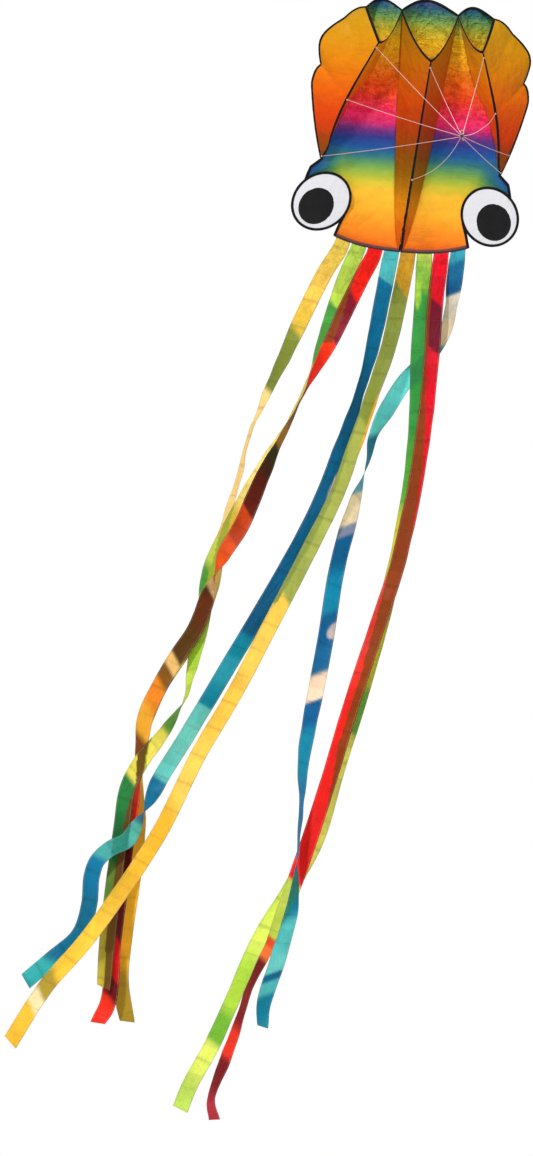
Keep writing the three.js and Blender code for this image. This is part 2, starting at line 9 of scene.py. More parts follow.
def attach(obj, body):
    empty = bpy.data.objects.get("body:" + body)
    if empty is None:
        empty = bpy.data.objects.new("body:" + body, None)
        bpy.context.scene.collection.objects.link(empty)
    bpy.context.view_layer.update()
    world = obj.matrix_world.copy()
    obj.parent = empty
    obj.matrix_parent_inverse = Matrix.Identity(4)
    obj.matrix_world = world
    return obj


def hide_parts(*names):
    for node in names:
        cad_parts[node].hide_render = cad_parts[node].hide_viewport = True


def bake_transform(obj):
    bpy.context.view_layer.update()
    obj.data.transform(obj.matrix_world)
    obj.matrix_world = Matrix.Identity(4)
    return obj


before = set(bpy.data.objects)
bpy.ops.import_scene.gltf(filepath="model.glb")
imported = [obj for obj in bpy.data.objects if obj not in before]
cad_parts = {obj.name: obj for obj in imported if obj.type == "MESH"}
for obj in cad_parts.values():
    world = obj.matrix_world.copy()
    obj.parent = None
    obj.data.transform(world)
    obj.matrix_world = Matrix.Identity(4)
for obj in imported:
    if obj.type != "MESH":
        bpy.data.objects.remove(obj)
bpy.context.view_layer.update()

# Everything is in metres, in the frame of the CAD part: the origin is the tow point, +Z is up and
# the bridle side of the head faces -Y. "Height" is measured up from the centre of the hem and
# "back" is the distance behind the sail's sloping plane, as in part.mjs.
random = np.random.default_rng(8)

# Head
HEM_BACK = 1.2
HEM_DROP = 0.355
LEAN = 0.27
HEM_HALF_WIDTH = 0.235
HEM_CORNER_LIFT = 0.034
HEM_BAND = 0.012
HEM_END_GAP = 0.003
GATHER_X = 0.098
GATHER_HEIGHT = 0.817
CENTRE_DOME_RISE = 0.047
SIDE_DOME_RISE = 0.036
CENTRE_BULGE = 0.090
SIDE_BULGE = 0.075
WEDGE_BULGE = 0.016
FRONT_PLY = -0.0018
CENTRE_KEEL_DEPTH = 0.170
CENTRE_KEEL_HEIGHT = 0.649
KEEL_START_HEIGHT = 0.018
CENTRE_DIPS = (0.026, 0.026)        # how far the middle of a mouth's edge hangs below a straight line
SIDE_DIPS = (0.030, 0.005)          # inner panel, outer panel
MOUTH_DIP_POWER = 5
PANEL_BULGE = 0.012
LOWER_SIDE = [(.235, .034), (.222, .076), (.205, .120), (.360, .210), (.353, .238), (.345, .262),
              (.312, .291)]
LOBES = [
    [(.312, .291), (.337, .368), (.358, .450), (.374, .530), (.376, .552), (.368, .590), (.352, .610)],
    [(.352, .610), (.361, .642), (.366, .680), (.357, .711), (.330, .742), (.292, .772)],
    [(.292, .772), (.268, .797), (.243, .812), (.220, .816)],
]
LOBE_STEPS = [20, 12, 8]
SIDE_ROOT = [(.312, .291), (.285, .385), (.265, .430), (.250, .470), (.227, .519), (.192, .570),
             (.163, .632), (.098, .817)]
SIDE_RIDGE = [(.312, .291, .002), (.300, .318, .020), (.285, .400, .042), (.260, .493, .068),
              (.179, .697, .123)]

# Eyes
EYE_X = 0.295
EYE_HEIGHT = 0.148
EYE_FORWARD = 0.005
EYE_RADIUS = (0.112, 0.099)
EYE_TURN = math.radians(50)         # from level to the long axis, whose top leans inward
EYE_RIM = 0.0105
PUPIL_RADIUS = (0.068, 0.0595)
PUPIL_TURN = math.radians(60)
PUPIL_OUT = 0.015
PUPIL_DOWN = 0.017

# The dyed bands sink towards the ears, beyond this distance from the middle and at this slope.
EAR_START = 0.235
EAR_SINK = 0.9

# Bridle
CORD_DIAMETER = 0.0018
LEG_START = 0.0075
LEG_SPACING = 0.0023
LEG_END_GAP = 0.0022
LEG_SAG = 0.0035                    # of a taut leg, at its middle
HITCH_SIZE = 0.0019                 # the small knot where a leg is tied to the head
HITCH_CORD_RADIUS = 0.0008
HITCH_BACK = 0.004
KNOT_RADIUS = 0.0055
KNOT_CORD_RADIUS = 0.0015
LOOP_RADIUS = 0.006
LOOP_CORD_RADIUS = 0.0011
CORD_END = [(.001, .001, -.004), (.002, 0, -.0075), (.0035, -.001, -.011), (.006, -.001, -.0135),
            (.009, .0005, -.0145)]

# Cloth and tapes
CLOTH_THICKNESS = 0.0005
EDGE_INSET = 0.001                  # how far the cloth ends inside the edge bindings' line
SIM_FRAMES = 26
RIDGE_TAPE = (0.0068, 0.0011)       # width of each leg, thickness
MOUTH_TAPE = (0.0050, 0.0013)       # half width, half thickness
LEADING_TAPE = (0.0048, 0.0013)
HEM_TAPE = (HEM_BAND / 2 + 0.0012, 0.0014)
EYE_TAPE = (0.9 * EYE_RIM / 2, 0.0014)
EDGE_TAPE_HALF_WIDTH = 0.0050
EDGE_TAPE_BULK = (0.0016, 0.0030)   # half thickness below the waist, and above it
THREAD_PITCH = 0.0011
RIPSTOP_PITCH = 0.0055
FINE_RIPSTOP_PITCH = 0.005
TAPE_STITCH_PITCH = 0.0032
RIBBON_STITCH_PITCH = 0.0034

# Tails
TAIL_WIDTH = 0.056
TAIL_TOP_WIDTH = 0.053
TAIL_PITCH = 0.0575
TAIL_GAP = 0.0015
TAIL_STEP = 0.007
TAIL_TUCK = 0.005                   # how far its top reaches up behind the hem
HEM_FOLD = 0.0045                   # width of a tail's own rolled hems
FOLD_PITCH = 0.104                  # the tails were stored folded, and the folds still show
ROUTES = {
    "tail_1_yellow": [
        (-212, -370, 8, 0), (-250, -445, 20, 0), (-320, -625, 36, 15), (-390, -825, 54, 60),
        (-445, -985, 66, 84), (-485, -1195, 80, 80), (-525, -1405, 84, 60), (-545, -1565, 76, 25),
        (-580, -1695, 70, 5), (-630, -1805, 66, 0), (-685, -1905, 64, -5), (-725, -2015, 62, -15),
        (-745, -2135, 62, -50), (-735, -2255, 62, -60), (-725, -2415, 62, -20),
        (-730, -2605, 60, 0), (-740, -2775, 58, 15), (-740, -2950, 56, 5), (-705, -3085, 55, -20)],
    "tail_2_lime": [
        (-154, -380, 5, 0), (-180, -460, 14, 0), (-220, -635, 34, 20), (-266, -810, 58, 84),
        (-328, -975, 54, 86), (-442, -1225, 42, 15), (-535, -1435, 36, 20), (-565, -1540, 38, 40),
        (-565, -1660, 38, 38), (-580, -1765, 32, 40), (-595, -1870, 12, 65), (-610, -1955, -12, 85),
        (-665, -2060, -34, 140), (-740, -2170, -42, 170), (-785, -2275, -42, 190),
        (-795, -2415, -34, 205), (-805, -2605, -36, 190), (-810, -2830, -38, 170),
        (-810, -2970, -38, 150)],
    "tail_3_red": [
        (-95, -385, 0, 0), (-125, -455, 0, 0), (-175, -580, -4, 10), (-230, -725, -10, 45),
        (-280, -840, -14, 88), (-318, -945, -10, 104), (-366, -1055, -5, 124),
        (-410, -1170, -5, 158), (-470, -1350, -5, 190), (-525, -1460, -6, 225),
        (-555, -1550, -8, 300), (-570, -1625, -8, 355), (-600, -1720, -8, 360),
        (-650, -1810, -8, 360), (-700, -1915, -8, 365), (-740, -2020, -8, 372),
        (-750, -2135, -6, 410), (-750, -2255, -4, 430), (-765, -2395, -2, 395),
        (-775, -2570, -4, 370), (-785, -2810, -6, 350), (-785, -3020, -8, 360),
        (-815, -3095, -10, 400)],
    "tail_4_blue": [
        (-34, -390, -4, 0), (-46, -500, -8, -5), (-68, -675, -18, -25), (-100, -850, -26, -50),
        (-155, -1065, -32, -25), (-212, -1260, -38, 0), (-310, -1490, -40, 0),
        (-450, -1780, -42, 0), (-600, -2085, -48, 0), (-680, -2240, -56, 5),
        (-710, -2320, -66, 60), (-740, -2385, -72, 130), (-775, -2455, -74, 180),
        (-830, -2490, -70, 195), (-870, -2535, -62, 205), (-885, -2590, -55, 195),
        (-885, -2690, -50, 180), (-910, -2795, -46, 180), (-1000, -2890, -42, 190),
        (-1080, -2970, -40, 180)],
    "tail_5_yellow": [
        (25, -390, -8, 0), (12, -495, -18, 0), (-14, -670, -38, 30), (-59, -845, -58, 38),
        (-114, -1060, -68, 38), (-159, -1220, -72, 34), (-232, -1400, -74, 20),
        (-350, -1685, -78, 0), (-450, -1920, -84, 0), (-555, -2135, -92, 0),
        (-670, -2420, -102, 0), (-775, -2615, -108, 5), (-895, -2815, -104, 15),
        (-1015, -2980, -96, -10), (-1120, -3180, -92, 10)],
    "tail_6_lime": [
        (88, -390, 5, 0), (95, -520, 14, 0), (100, -725, 24, 26), (115, -970, 32, 30),
        (110, -1175, 34, 30), (90, -1390, 34, 28), (52, -1635, 34, 24), (5, -1880, 32, 20),
        (-55, -2145, 32, 10), (-110, -2410, 30, 0), (-190, -2590, 32, -15), (-270, -2755, 38, 0),
        (-340, -2950, 40, 35), (-405, -3135, 34, 15), (-475, -3290, 26, 0), (-500, -3370, 22, 10)],
    "tail_7_red": [
        (142, -395, -4, 0), (137, -515, -7, 0), (140, -725, -12, 26), (135, -970, -14, 30),
        (120, -1175, -14, 30), (85, -1425, -14, 28), (28, -1670, -13, 18), (-35, -1935, -12, 0),
        (-90, -2200, -12, 0), (-135, -2395, -10, 5), (-180, -2570, -10, 15),
        (-240, -2770, -14, 60), (-300, -2930, -14, 75), (-355, -3160, -8, 55),
        (-400, -3320, -4, 70), (-380, -3395, -2, 50)],
    "tail_8_blue": [
        (201, -375, 2, 5), (200, -440, 10, 15), (200, -525, 28, 55), (185, -630, 58, 50),
        (130, -720, 70, 20), (65, -800, 68, 5), (15, -890, 52, 10), (-30, -985, 30, 60),
        (-50, -1095, 10, 88), (-75, -1210, -10, 135), (-105, -1335, -22, 175),
        (-130, -1495, -30, 180), (-145, -1700, -35, 185), (-165, -1895, -42, 195),
        (-185, -2085, -48, 225), (-185, -2275, -54, 258), (-180, -2465, -60, 275),
        (-185, -2655, -62, 330), (-215, -2815, -56, 360), (-250, -2975, -48, 340),
        (-250, -3060, -44, 320)],
}

# Camera and light
CAMERA_TURN = -7.5                  # degrees about the vertical
CAMERA_ROLL = 5                     # degrees
CAMERA_DISTANCE = 30
CAMERA_SENSOR = 36                  # mm
CAMERA_LENS = 270.33                # mm
PICTURE_CENTRE = (-0.4614, -1.1267)     # from the middle of the hem, rightward and up in the picture
SOFT_LIGHT = 0.60
SUNS = {"key": ((0.42, 0.72, -0.56), 2.6, 5), "rear": ((-0.30, -0.80, -0.52), 2.7, 10)}
FLOOR_X = (-4.2, 3.4)
FLOOR_Y = (-3.6, 4.4)
FLOOR_Z = -3.9

# Colours are given as they look on a screen, 0 to 255. The ramps start at the hem.
WHITE = (216, 216, 221)
BLACK = (6, 6, 7)
CORD_PINK = (226, 176, 168)
RAINBOW = [
    (-0.02, (240, 120, 40)), (0.02, (246, 140, 42)), (0.08, (250, 170, 46)), (0.14, (250, 198, 58)),
    (0.20, (248, 210, 68)), (0.235, (222, 212, 74)), (0.262, (178, 202, 84)), (0.29, (122, 180, 108)),
    (0.318, (62, 140, 150)), (0.35, (40, 104, 176)), (0.385, (66, 72, 160)), (0.41, (142, 60, 150)),
    (0.438, (238, 50, 134)), (0.475, (255, 50, 120)), (0.505, (255, 70, 84)), (0.535, (255, 90, 40)),
    (0.57, (255, 118, 22)), (0.61, (255, 156, 24)), (0.66, (254, 198, 26)), (0.725, (252, 216, 40)),
    (0.765, (220, 216, 76)), (0.795, (150, 200, 112)), (0.824, (66, 150, 146)),
    (0.846, (44, 104, 166)), (0.89, (30, 68, 140))]
# The keel panels are amber cloth. Their ramps also hold painted light and shade: the rainbow sail behind
# them shining through, which darkens them in places.
PANEL_CENTRE = [
    (0.0, (214, 84, 14)), (0.08, (216, 96, 6)), (0.13, (226, 130, 8)), (0.17, (214, 130, 6)),
    (0.22, (176, 112, 6)), (0.27, (148, 92, 4)), (0.32, (144, 78, 4)), (0.37, (160, 68, 4)),
    (0.43, (186, 62, 4)), (0.50, (206, 74, 4)), (0.57, (204, 92, 8)), (0.64, (196, 108, 4)),
    (0.72, (186, 122, 8)), (0.83, (170, 120, 16))]
PANEL_SIDE = [
    (0.28, (110, 78, 20)), (0.33, (136, 72, 6)), (0.37, (172, 62, 4)), (0.41, (214, 62, 4)),
    (0.46, (226, 72, 4)), (0.51, (230, 92, 4)), (0.56, (232, 110, 4)), (0.61, (228, 126, 4)),
    (0.66, (222, 138, 6)), (0.71, (216, 146, 6)), (0.76, (206, 146, 8)), (0.84, (190, 140, 20))]

# Along each tail: z in metres and the colour there. Besides each ribbon's dyed colour, the lists hold
# painted shade, painted glare and painted light shining through the tails behind.
TAIL_COLOURS = {
    "tail_1_yellow": [
        (-.34, (240, 216, 96)), (-.50, (252, 220, 100)), (-.62, (236, 206, 76)),
        (-.70, (150, 160, 60)), (-.84, (142, 154, 58)), (-.90, (250, 226, 150)),
        (-1.20, (252, 224, 150)), (-1.50, (252, 226, 150)), (-1.60, (252, 226, 156)),
        (-1.66, (210, 160, 40)), (-1.79, (180, 132, 30)), (-1.84, (252, 224, 130)),
        (-1.90, (150, 112, 10)), (-1.95, (252, 196, 30)), (-2.10, (250, 214, 60)),
        (-2.40, (226, 180, 52)), (-2.70, (246, 200, 52)), (-3.05, (190, 160, 44))],
    "tail_2_lime": [
        (-.34, (196, 222, 96)), (-.55, (204, 230, 96)), (-.58, (92, 184, 80)),
        (-.74, (96, 180, 76)), (-.80, (236, 224, 120)), (-1.20, (250, 232, 140)),
        (-1.38, (226, 196, 60)), (-1.44, (210, 226, 84)), (-1.56, (90, 170, 66)),
        (-1.66, (196, 224, 90)), (-1.80, (186, 222, 70)), (-1.92, (214, 234, 100)),
        (-2.04, (120, 184, 70)), (-2.10, (246, 238, 110)), (-2.22, (246, 238, 100)),
        (-2.28, (40, 140, 66)), (-2.50, (30, 124, 60)), (-2.60, (110, 150, 50)),
        (-2.80, (190, 180, 60)), (-3.1, (226, 200, 70))],
    "tail_3_red": [
        (-.34, (244, 24, 14)), (-.50, (246, 32, 10)), (-.54, (150, 20, 44)), (-.66, (156, 22, 50)),
        (-.69, (252, 56, 8)), (-.80, (240, 36, 10)), (-.88, (170, 10, 20)), (-.92, (150, 90, 30)),
        (-1.04, (196, 140, 30)), (-1.08, (70, 62, 12)), (-1.14, (80, 44, 8)), (-1.17, (104, 30, 4)),
        (-1.28, (110, 26, 4)), (-1.31, (214, 76, 4)), (-1.38, (200, 66, 4)), (-1.42, (236, 92, 14)),
        (-1.52, (240, 98, 20)), (-1.55, (250, 214, 150)), (-1.60, (120, 54, 10)),
        (-1.80, (104, 66, 10)), (-1.84, (252, 214, 130)), (-1.88, (150, 96, 14)),
        (-1.94, (240, 150, 30)), (-2.05, (250, 190, 50)), (-2.16, (150, 80, 20)),
        (-2.20, (240, 84, 40)), (-2.38, (236, 70, 30)), (-2.44, (120, 24, 14)),
        (-2.75, (118, 18, 22)), (-2.82, (240, 20, 16)), (-2.90, (226, 20, 16)),
        (-2.96, (120, 14, 20)), (-3.04, (240, 50, 20))],
    "tail_4_blue": [
        (-.34, (90, 204, 208)), (-.45, (96, 208, 210)), (-.47, (0, 134, 176)),
        (-.60, (0, 128, 172)), (-1.10, (0, 112, 154)), (-1.60, (0, 106, 150)),
        (-1.68, (0, 100, 146)), (-1.76, (0, 146, 172)), (-1.84, (40, 170, 190)),
        (-1.96, (0, 146, 172)), (-1.99, (110, 204, 198)), (-2.08, (122, 212, 202)),
        (-2.22, (112, 208, 200)), (-2.26, (0, 124, 164)), (-2.36, (20, 134, 172)),
        (-2.42, (104, 206, 196)), (-2.50, (76, 180, 176)), (-2.55, (0, 128, 168)),
        (-2.72, (10, 120, 156)), (-2.85, (0, 122, 160)), (-2.93, (60, 186, 188)),
        (-3.0, (50, 174, 178))],
    "tail_5_yellow": [
        (-.34, (222, 176, 44)), (-.47, (214, 168, 36)), (-.50, (146, 158, 58)),
        (-.92, (152, 164, 64)), (-.98, (182, 190, 88)), (-1.55, (180, 188, 88)),
        (-1.60, (250, 216, 92)), (-1.75, (252, 220, 100)), (-2.00, (250, 210, 84)),
        (-2.20, (252, 220, 104)), (-2.45, (248, 202, 56)), (-2.90, (252, 212, 66)),
        (-2.98, (196, 170, 60)), (-3.03, (250, 236, 190)), (-3.08, (252, 212, 66)),
        (-3.2, (248, 204, 60))],
    "tail_6_lime": [
        (-.34, (196, 220, 96)), (-.44, (160, 212, 86)), (-.52, (70, 178, 84)),
        (-.90, (64, 172, 78)), (-1.10, (96, 184, 60)), (-1.40, (216, 214, 60)),
        (-1.80, (226, 230, 90)), (-1.92, (140, 202, 90)), (-2.00, (144, 204, 90)),
        (-2.04, (236, 240, 130)), (-2.40, (238, 242, 136)), (-2.70, (226, 238, 110)),
        (-2.95, (190, 224, 70)), (-3.10, (130, 196, 50)), (-3.16, (222, 232, 110)),
        (-3.36, (200, 224, 100))],
    "tail_7_red": [
        (-.34, (240, 8, 44)), (-.50, (238, 10, 44)), (-.53, (140, 18, 52)), (-.66, (136, 18, 50)),
        (-.70, (232, 10, 44)), (-1.10, (226, 20, 40)), (-1.60, (240, 60, 44)),
        (-2.20, (252, 36, 28)), (-2.54, (250, 34, 28)), (-2.57, (220, 232, 100)),
        (-2.74, (206, 220, 84)), (-2.77, (232, 90, 40)),
        (-2.80, (248, 130, 60)), (-2.86, (130, 16, 26)), (-3.00, (150, 16, 34)),
        (-3.14, (240, 60, 40)), (-3.22, (140, 18, 34)), (-3.4, (190, 40, 60))],
    "tail_8_blue": [
        (-.34, (70, 190, 210)), (-.40, (30, 130, 176)), (-.47, (20, 108, 160)),
        (-.50, (236, 232, 214)), (-.64, (254, 240, 212)), (-.70, (80, 196, 206)),
        (-.78, (146, 250, 246)), (-.95, (140, 246, 244)), (-1.04, (30, 160, 190)),
        (-1.17, (120, 190, 206)), (-1.22, (252, 240, 206)), (-1.29, (250, 236, 200)),
        (-1.33, (150, 160, 184)), (-1.37, (0, 110, 160)), (-1.58, (0, 150, 184)),
        (-1.66, (0, 108, 160)), (-1.80, (20, 118, 166)), (-1.86, (250, 224, 196)),
        (-1.91, (248, 224, 200)), (-1.94, (0, 106, 160)), (-2.10, (20, 150, 180)),
        (-2.30, (30, 130, 176)), (-2.60, (0, 146, 184)), (-2.75, (100, 206, 204)),
        (-2.86, (120, 212, 206)), (-2.88, (0, 110, 150)), (-2.92, (90, 196, 196)),
        (-2.98, (0, 146, 172)), (-3.1, (40, 166, 186))],
}

# How steeply each tail's colour borders slant.
TAIL_SLANT = {"tail_1_yellow": 0.9, "tail_2_lime": 0.9, "tail_3_red": 1.1, "tail_4_blue": 0.5,
              "tail_5_yellow": 1.2, "tail_6_lime": 0.6, "tail_7_red": 0.7, "tail_8_blue": -0.5}
# Marks where a tail catches the sun: z, place across from -1 to 1, length, width, colour.
GLARE = {
    "tail_4_blue": [(-1.19, 0.75, 0.065, 0.35, (214, 200, 184))],
    "tail_5_yellow": [(-0.93, 0.85, 0.12, 0.35, (246, 184, 30))],
    "tail_6_lime": [(-0.50, -0.6, 0.06, 0.4, (180, 222, 80))],
    "tail_8_blue": [(-1.69, 0.9, 0.03, 0.9, (206, 190, 186))],
}
# Below this height a tail's own list already holds what shines through it: z at the tail's middle,
# and how steeply that limit drops from its left edge to its right.
OWN_COLOURS_BELOW = {"tail_3_red": (-0.69, 0), "tail_5_yellow": (-1.60, 0), "tail_7_red": (-2.10, 8)}
# Painted light shining through two tails: what one tail's colour turns into where another tail lies close
# behind it.
THROUGH = {
    ("yellow", "blue"): (152, 168, 72), ("red", "lime"): (156, 72, 6), ("red", "yellow"): (130, 62, 6),
    ("yellow", "lime"): (196, 186, 46), ("lime", "yellow"): (176, 190, 50), ("yellow", "red"): (140, 84, 12),
    ("lime", "blue"): (60, 156, 88), ("blue", "lime"): (40, 150, 130), ("lime", "red"): (120, 74, 16),
}


# ---------------------------------------------------------------- small helpers

def linear(colour):
    """A screen colour, 0 to 255, as linear numbers."""
    shares = np.array(colour, float) / 255
    return np.where(shares <= 0.04045, shares / 12.92, ((shares + 0.055) / 1.055) ** 2.4)


def span(count):
    return np.linspace(0, 1, count)


def mix(a, b, share):
    return a + (b - a) * share


def arch(share):
    return 4 * share * (1 - share)


def smooth(share):
    share = np.clip(share, 0, 1)
    return share * share * (3 - 2 * share)


def unit(vectors):
    vectors = np.asarray(vectors, float)
    return vectors / np.maximum(np.linalg.norm(vectors, axis=-1, keepdims=True), 1e-12)


def sail_point(x, height, back=0.0):
    x, height, back = np.broadcast_arrays(x, height, back)
    return np.stack([x, HEM_BACK - LEAN * height + back, height - HEM_DROP], axis=-1)


def hem_lift(x):
    return HEM_CORNER_LIFT * np.power(np.abs(x) / HEM_HALF_WIDTH, 2.5)


def centre_root_x(height):
    return GATHER_X * np.power(height / GATHER_HEIGHT, 0.55)


def hermite(p0, p1, m0, m1, t):
    t = t[:, None]
    return ((2 * t ** 3 - 3 * t ** 2 + 1) * p0 + (t ** 3 - 2 * t ** 2 + t) * m0
            + (3 * t ** 2 - 2 * t ** 3) * p1 + (t ** 3 - t ** 2) * m1)


def curve_through(points, places, centripetal):
    """A Catmull-Rom curve's points at places, which count the given points from 0."""
    points = np.asarray(points, float)
    places = np.asarray(places, float)
    last = len(points) - 1
    first = np.minimum(np.floor(places).astype(int), last - 1)
    t = places - first
    p1, p2 = points[first], points[first + 1]
    if centripetal:
        padded = np.vstack([2 * points[0] - points[1], points, 2 * points[-1] - points[-2]])
        p0, p3 = padded[first], padded[first + 3]
        d0 = np.maximum(np.linalg.norm(p1 - p0, axis=1) ** 0.5, 1e-9)[:, None]
        d1 = np.maximum(np.linalg.norm(p2 - p1, axis=1) ** 0.5, 1e-9)[:, None]
        d2 = np.maximum(np.linalg.norm(p3 - p2, axis=1) ** 0.5, 1e-9)[:, None]
        m1 = ((p1 - p0) / d0 - (p2 - p0) / (d0 + d1) + (p2 - p1) / d1) * d1
        m2 = ((p2 - p1) / d1 - (p3 - p1) / (d1 + d2) + (p3 - p2) / d2) * d1
    else:
        p0 = points[np.maximum(first - 1, 0)]
        p3 = points[np.minimum(first + 2, last)]
        m1, m2 = (p2 - p0) / 2, (p3 - p1) / 2
    return hermite(p1, p2, m1, m2, t)


class Line:
    """A curve through points that can be read at a share of its length."""

    def __init__(self, points, centripetal=False):
        count = len(points) - 1
        self.points = curve_through(points, np.linspace(0, count, count * 60 + 1), centripetal)
        steps = np.linalg.norm(np.diff(self.points, axis=0), axis=1)
        self.reach = np.concatenate([[0], np.cumsum(steps)])
        self.length = self.reach[-1]

    def at(self, share):
        where = np.asarray(share, float) * self.length
        columns = [np.interp(where, self.reach, self.points[:, k]) for k in range(self.points.shape[1])]
        return np.stack(columns, axis=-1)


def offset_outline(points, distance):
    """A flat outline moved sideways, outward where the distance is positive, with mitred corners."""
    points = np.asarray(points, float)
    inward = unit(np.diff(points, axis=0, prepend=2 * points[:1] - points[1:2]))
    outward = unit(np.diff(points, axis=0, append=2 * points[-1:] - points[-2:-1]))
    middle = unit(inward + outward)
    normal = np.stack([middle[:, 1], -middle[:, 0]], axis=-1)
    spread = np.maximum(np.sum(middle * outward, axis=1), 0.5)
    return points + normal * (distance / spread)[:, None]


# ---------------------------------------------------------------- meshes

def add_object(name, vertices, faces, uvs=None):
    mesh = bpy.data.meshes.new(name)
    mesh.from_pydata([tuple(v) for v in np.asarray(vertices, float)], [], [tuple(f) for f in faces])
    if uvs is not None:
        layer = mesh.uv_layers.new(name="lay")
        loops = np.zeros(len(mesh.loops), int)
        mesh.loops.foreach_get("vertex_index", loops)
        layer.data.foreach_set("uv", np.asarray(uvs, float)[loops].ravel())
    mesh.polygons.foreach_set("use_smooth", [True] * len(mesh.polygons))
    mesh.update()
    made = bpy.data.objects.new(name, mesh)
    bpy.context.scene.collection.objects.link(made)
    return made


def grid_faces(rows, columns, start=0):
    a = start + np.arange((rows - 1) * columns).reshape(rows - 1, columns)[:, :-1].ravel()
    return np.stack([a, a + 1, a + columns + 1, a + columns], axis=-1).tolist()


def lay_of(points):
    """Cloth coordinates of a grid in metres: across each row from its middle, and along."""
    across = np.linalg.norm(np.diff(points, axis=1), axis=2)
    across = np.concatenate([np.zeros((len(points), 1)), np.cumsum(across, axis=1)], axis=1)
    across -= across[:, -1:] / 2
    middle = points[:, points.shape[1] // 2]
    along = np.linalg.norm(np.diff(middle, axis=0), axis=1)
    along = np.concatenate([[0], np.cumsum(along)])
    return np.stack([across, np.repeat(along[:, None], points.shape[1], axis=1)], axis=-1)


def grid_object(name, points):
    """An open sheet around a grid of points."""
    rows, columns = points.shape[:2]
    uvs = lay_of(points).reshape(-1, 2)
    return add_object(name, points.reshape(-1, 3), grid_faces(rows, columns), uvs)


def ring_object(name, rings, uvs=None, closed=False):
    """A tube through rings of points, capped at its ends or joined to itself."""
    rings = np.asarray(rings, float)
    count, size = rings.shape[:2]
    faces = []
    for i in range(count if closed else count - 1):
        following_ring = (i + 1) % count
        for k in range(size):
            following = (k + 1) % size
            faces.append((i * size + k, i * size + following,
                          following_ring * size + following, following_ring * size + k))
    if not closed:
        faces.append(tuple(range(size - 1, -1, -1)))
        faces.append(tuple((count - 1) * size + k for k in range(size)))
    if uvs is None:
        steps = np.linalg.norm(np.diff(rings.mean(axis=1), axis=0), axis=1)
        along = np.concatenate([[0], np.cumsum(steps)])
        around = np.linalg.norm(np.roll(rings, -1, axis=1) - rings, axis=2)
        around = np.concatenate([np.zeros((count, 1)), np.cumsum(around, axis=1)[:, :-1]], axis=1)
        uvs = np.stack([around, np.repeat(along[:, None], size, axis=1)], axis=-1)
    return add_object(name, rings.reshape(-1, 3), faces, uvs.reshape(-1, 2))


def band_profile(half_width, half_thickness, corners=12):
    """A flattened round section as pairs: across and through."""
    turn = np.linspace(0, 2 * np.pi, corners, endpoint=False)
    across = np.sign(np.cos(turn)) * np.abs(np.cos(turn)) ** 0.55
    through = np.sign(np.sin(turn)) * np.abs(np.sin(turn)) ** 0.8
    return np.stack([across * half_width, through * half_thickness], axis=-1)


def band_object(name, centres, across, normals, half_width, half_thickness, pucker=0.06):
    """A folded, stitched tape along a line: centres, the tape's own direction and its normal."""
    profile = band_profile(1.0, 1.0)
    swell = 1 + pucker * random.standard_normal(len(centres))
    swell = np.convolve(np.pad(swell, 1, mode="edge"), [0.25, 0.5, 0.25], mode="valid")
    wide = np.broadcast_to(half_width, len(centres)) * mix(1, swell, 0.5)
    thick = np.broadcast_to(half_thickness, len(centres)) * swell
    rings = (centres[:, None] + across[:, None] * (wide[:, None] * profile[:, 0])[..., None]
             + normals[:, None] * (thick[:, None] * profile[:, 1])[..., None])
    return ring_object(name, rings)


def dense(points, step):
    """The same path with points about a step apart, corners kept."""
    parts = []
    for a, b in zip(points[:-1], points[1:]):
        count = max(1, int(round(np.linalg.norm(b - a) / step)))
        parts.append(a + (b - a) * (np.arange(count) / count)[:, None])
    return np.vstack([*parts, points[-1:]])


# ---------------------------------------------------------------- the head's lines

def lobe_points():
    parts = []
    for k, lobe in enumerate(LOBES):
        points = Line(lobe).at(np.linspace(0, 1, LOBE_STEPS[k] + 1))
        parts.append(points if k == 0 else points[1:])
    return np.vstack(parts)


upper_outline = lobe_points()
side_outline = np.vstack([LOWER_SIDE, upper_outline[1:]])
side_root = Line(SIDE_ROOT)
side_ridge = Line(SIDE_RIDGE, centripetal=True)


def outer_edge_at(share):
    place = np.asarray(share) * (len(upper_outline) - 1)
    steps = np.arange(len(upper_outline))
    return np.stack([np.interp(place, steps, upper_outline[:, k]) for k in (0, 1)], axis=-1)


class CentreKeel:
    low = -0.022

    def __init__(self):
        self.lines = (self.first, self.second)
        self.dips = CENTRE_DIPS

    def ridge(self, share):
        height = mix(KEEL_START_HEIGHT, CENTRE_KEEL_HEIGHT, share)
        depth = CENTRE_KEEL_DEPTH * height / CENTRE_KEEL_HEIGHT
        return sail_point(0.0, height, FRONT_PLY - depth)

    def root(self, side, share):
        height = mix(KEEL_START_HEIGHT, GATHER_HEIGHT, share)
        return sail_point(side * centre_root_x(height), height, FRONT_PLY)

    def first(self, share):
        return self.root(-1, share)

    def second(self, share):
        return self.root(1, share)


class SideKeel:
    low = 0.010

    def __init__(self, side):
        self.side = side
        self.lines = (self.first, self.second)
        self.dips = SIDE_DIPS

    def ridge(self, share):
        x, height, depth = np.moveaxis(side_ridge.at(share), -1, 0)
        return sail_point(self.side * x, height, FRONT_PLY - depth)

    def first(self, share):
        x, height = np.moveaxis(side_root.at(share), -1, 0)
        return sail_point(self.side * x, height, FRONT_PLY)

    def second(self, share):
        x, height = np.moveaxis(outer_edge_at(share), -1, 0)
        return sail_point(self.side * x, height, FRONT_PLY)


centre_keel = CentreKeel()
left_keel = SideKeel(-1)
right_keel = SideKeel(1)
UP_SAIL = np.array([0, -LEAN, 1]) / math.hypot(1, LEAN)
SAIL_FRONT = np.array([0, -1, -LEAN]) / math.hypot(1, LEAN)


# ---------------------------------------------------------------- camera

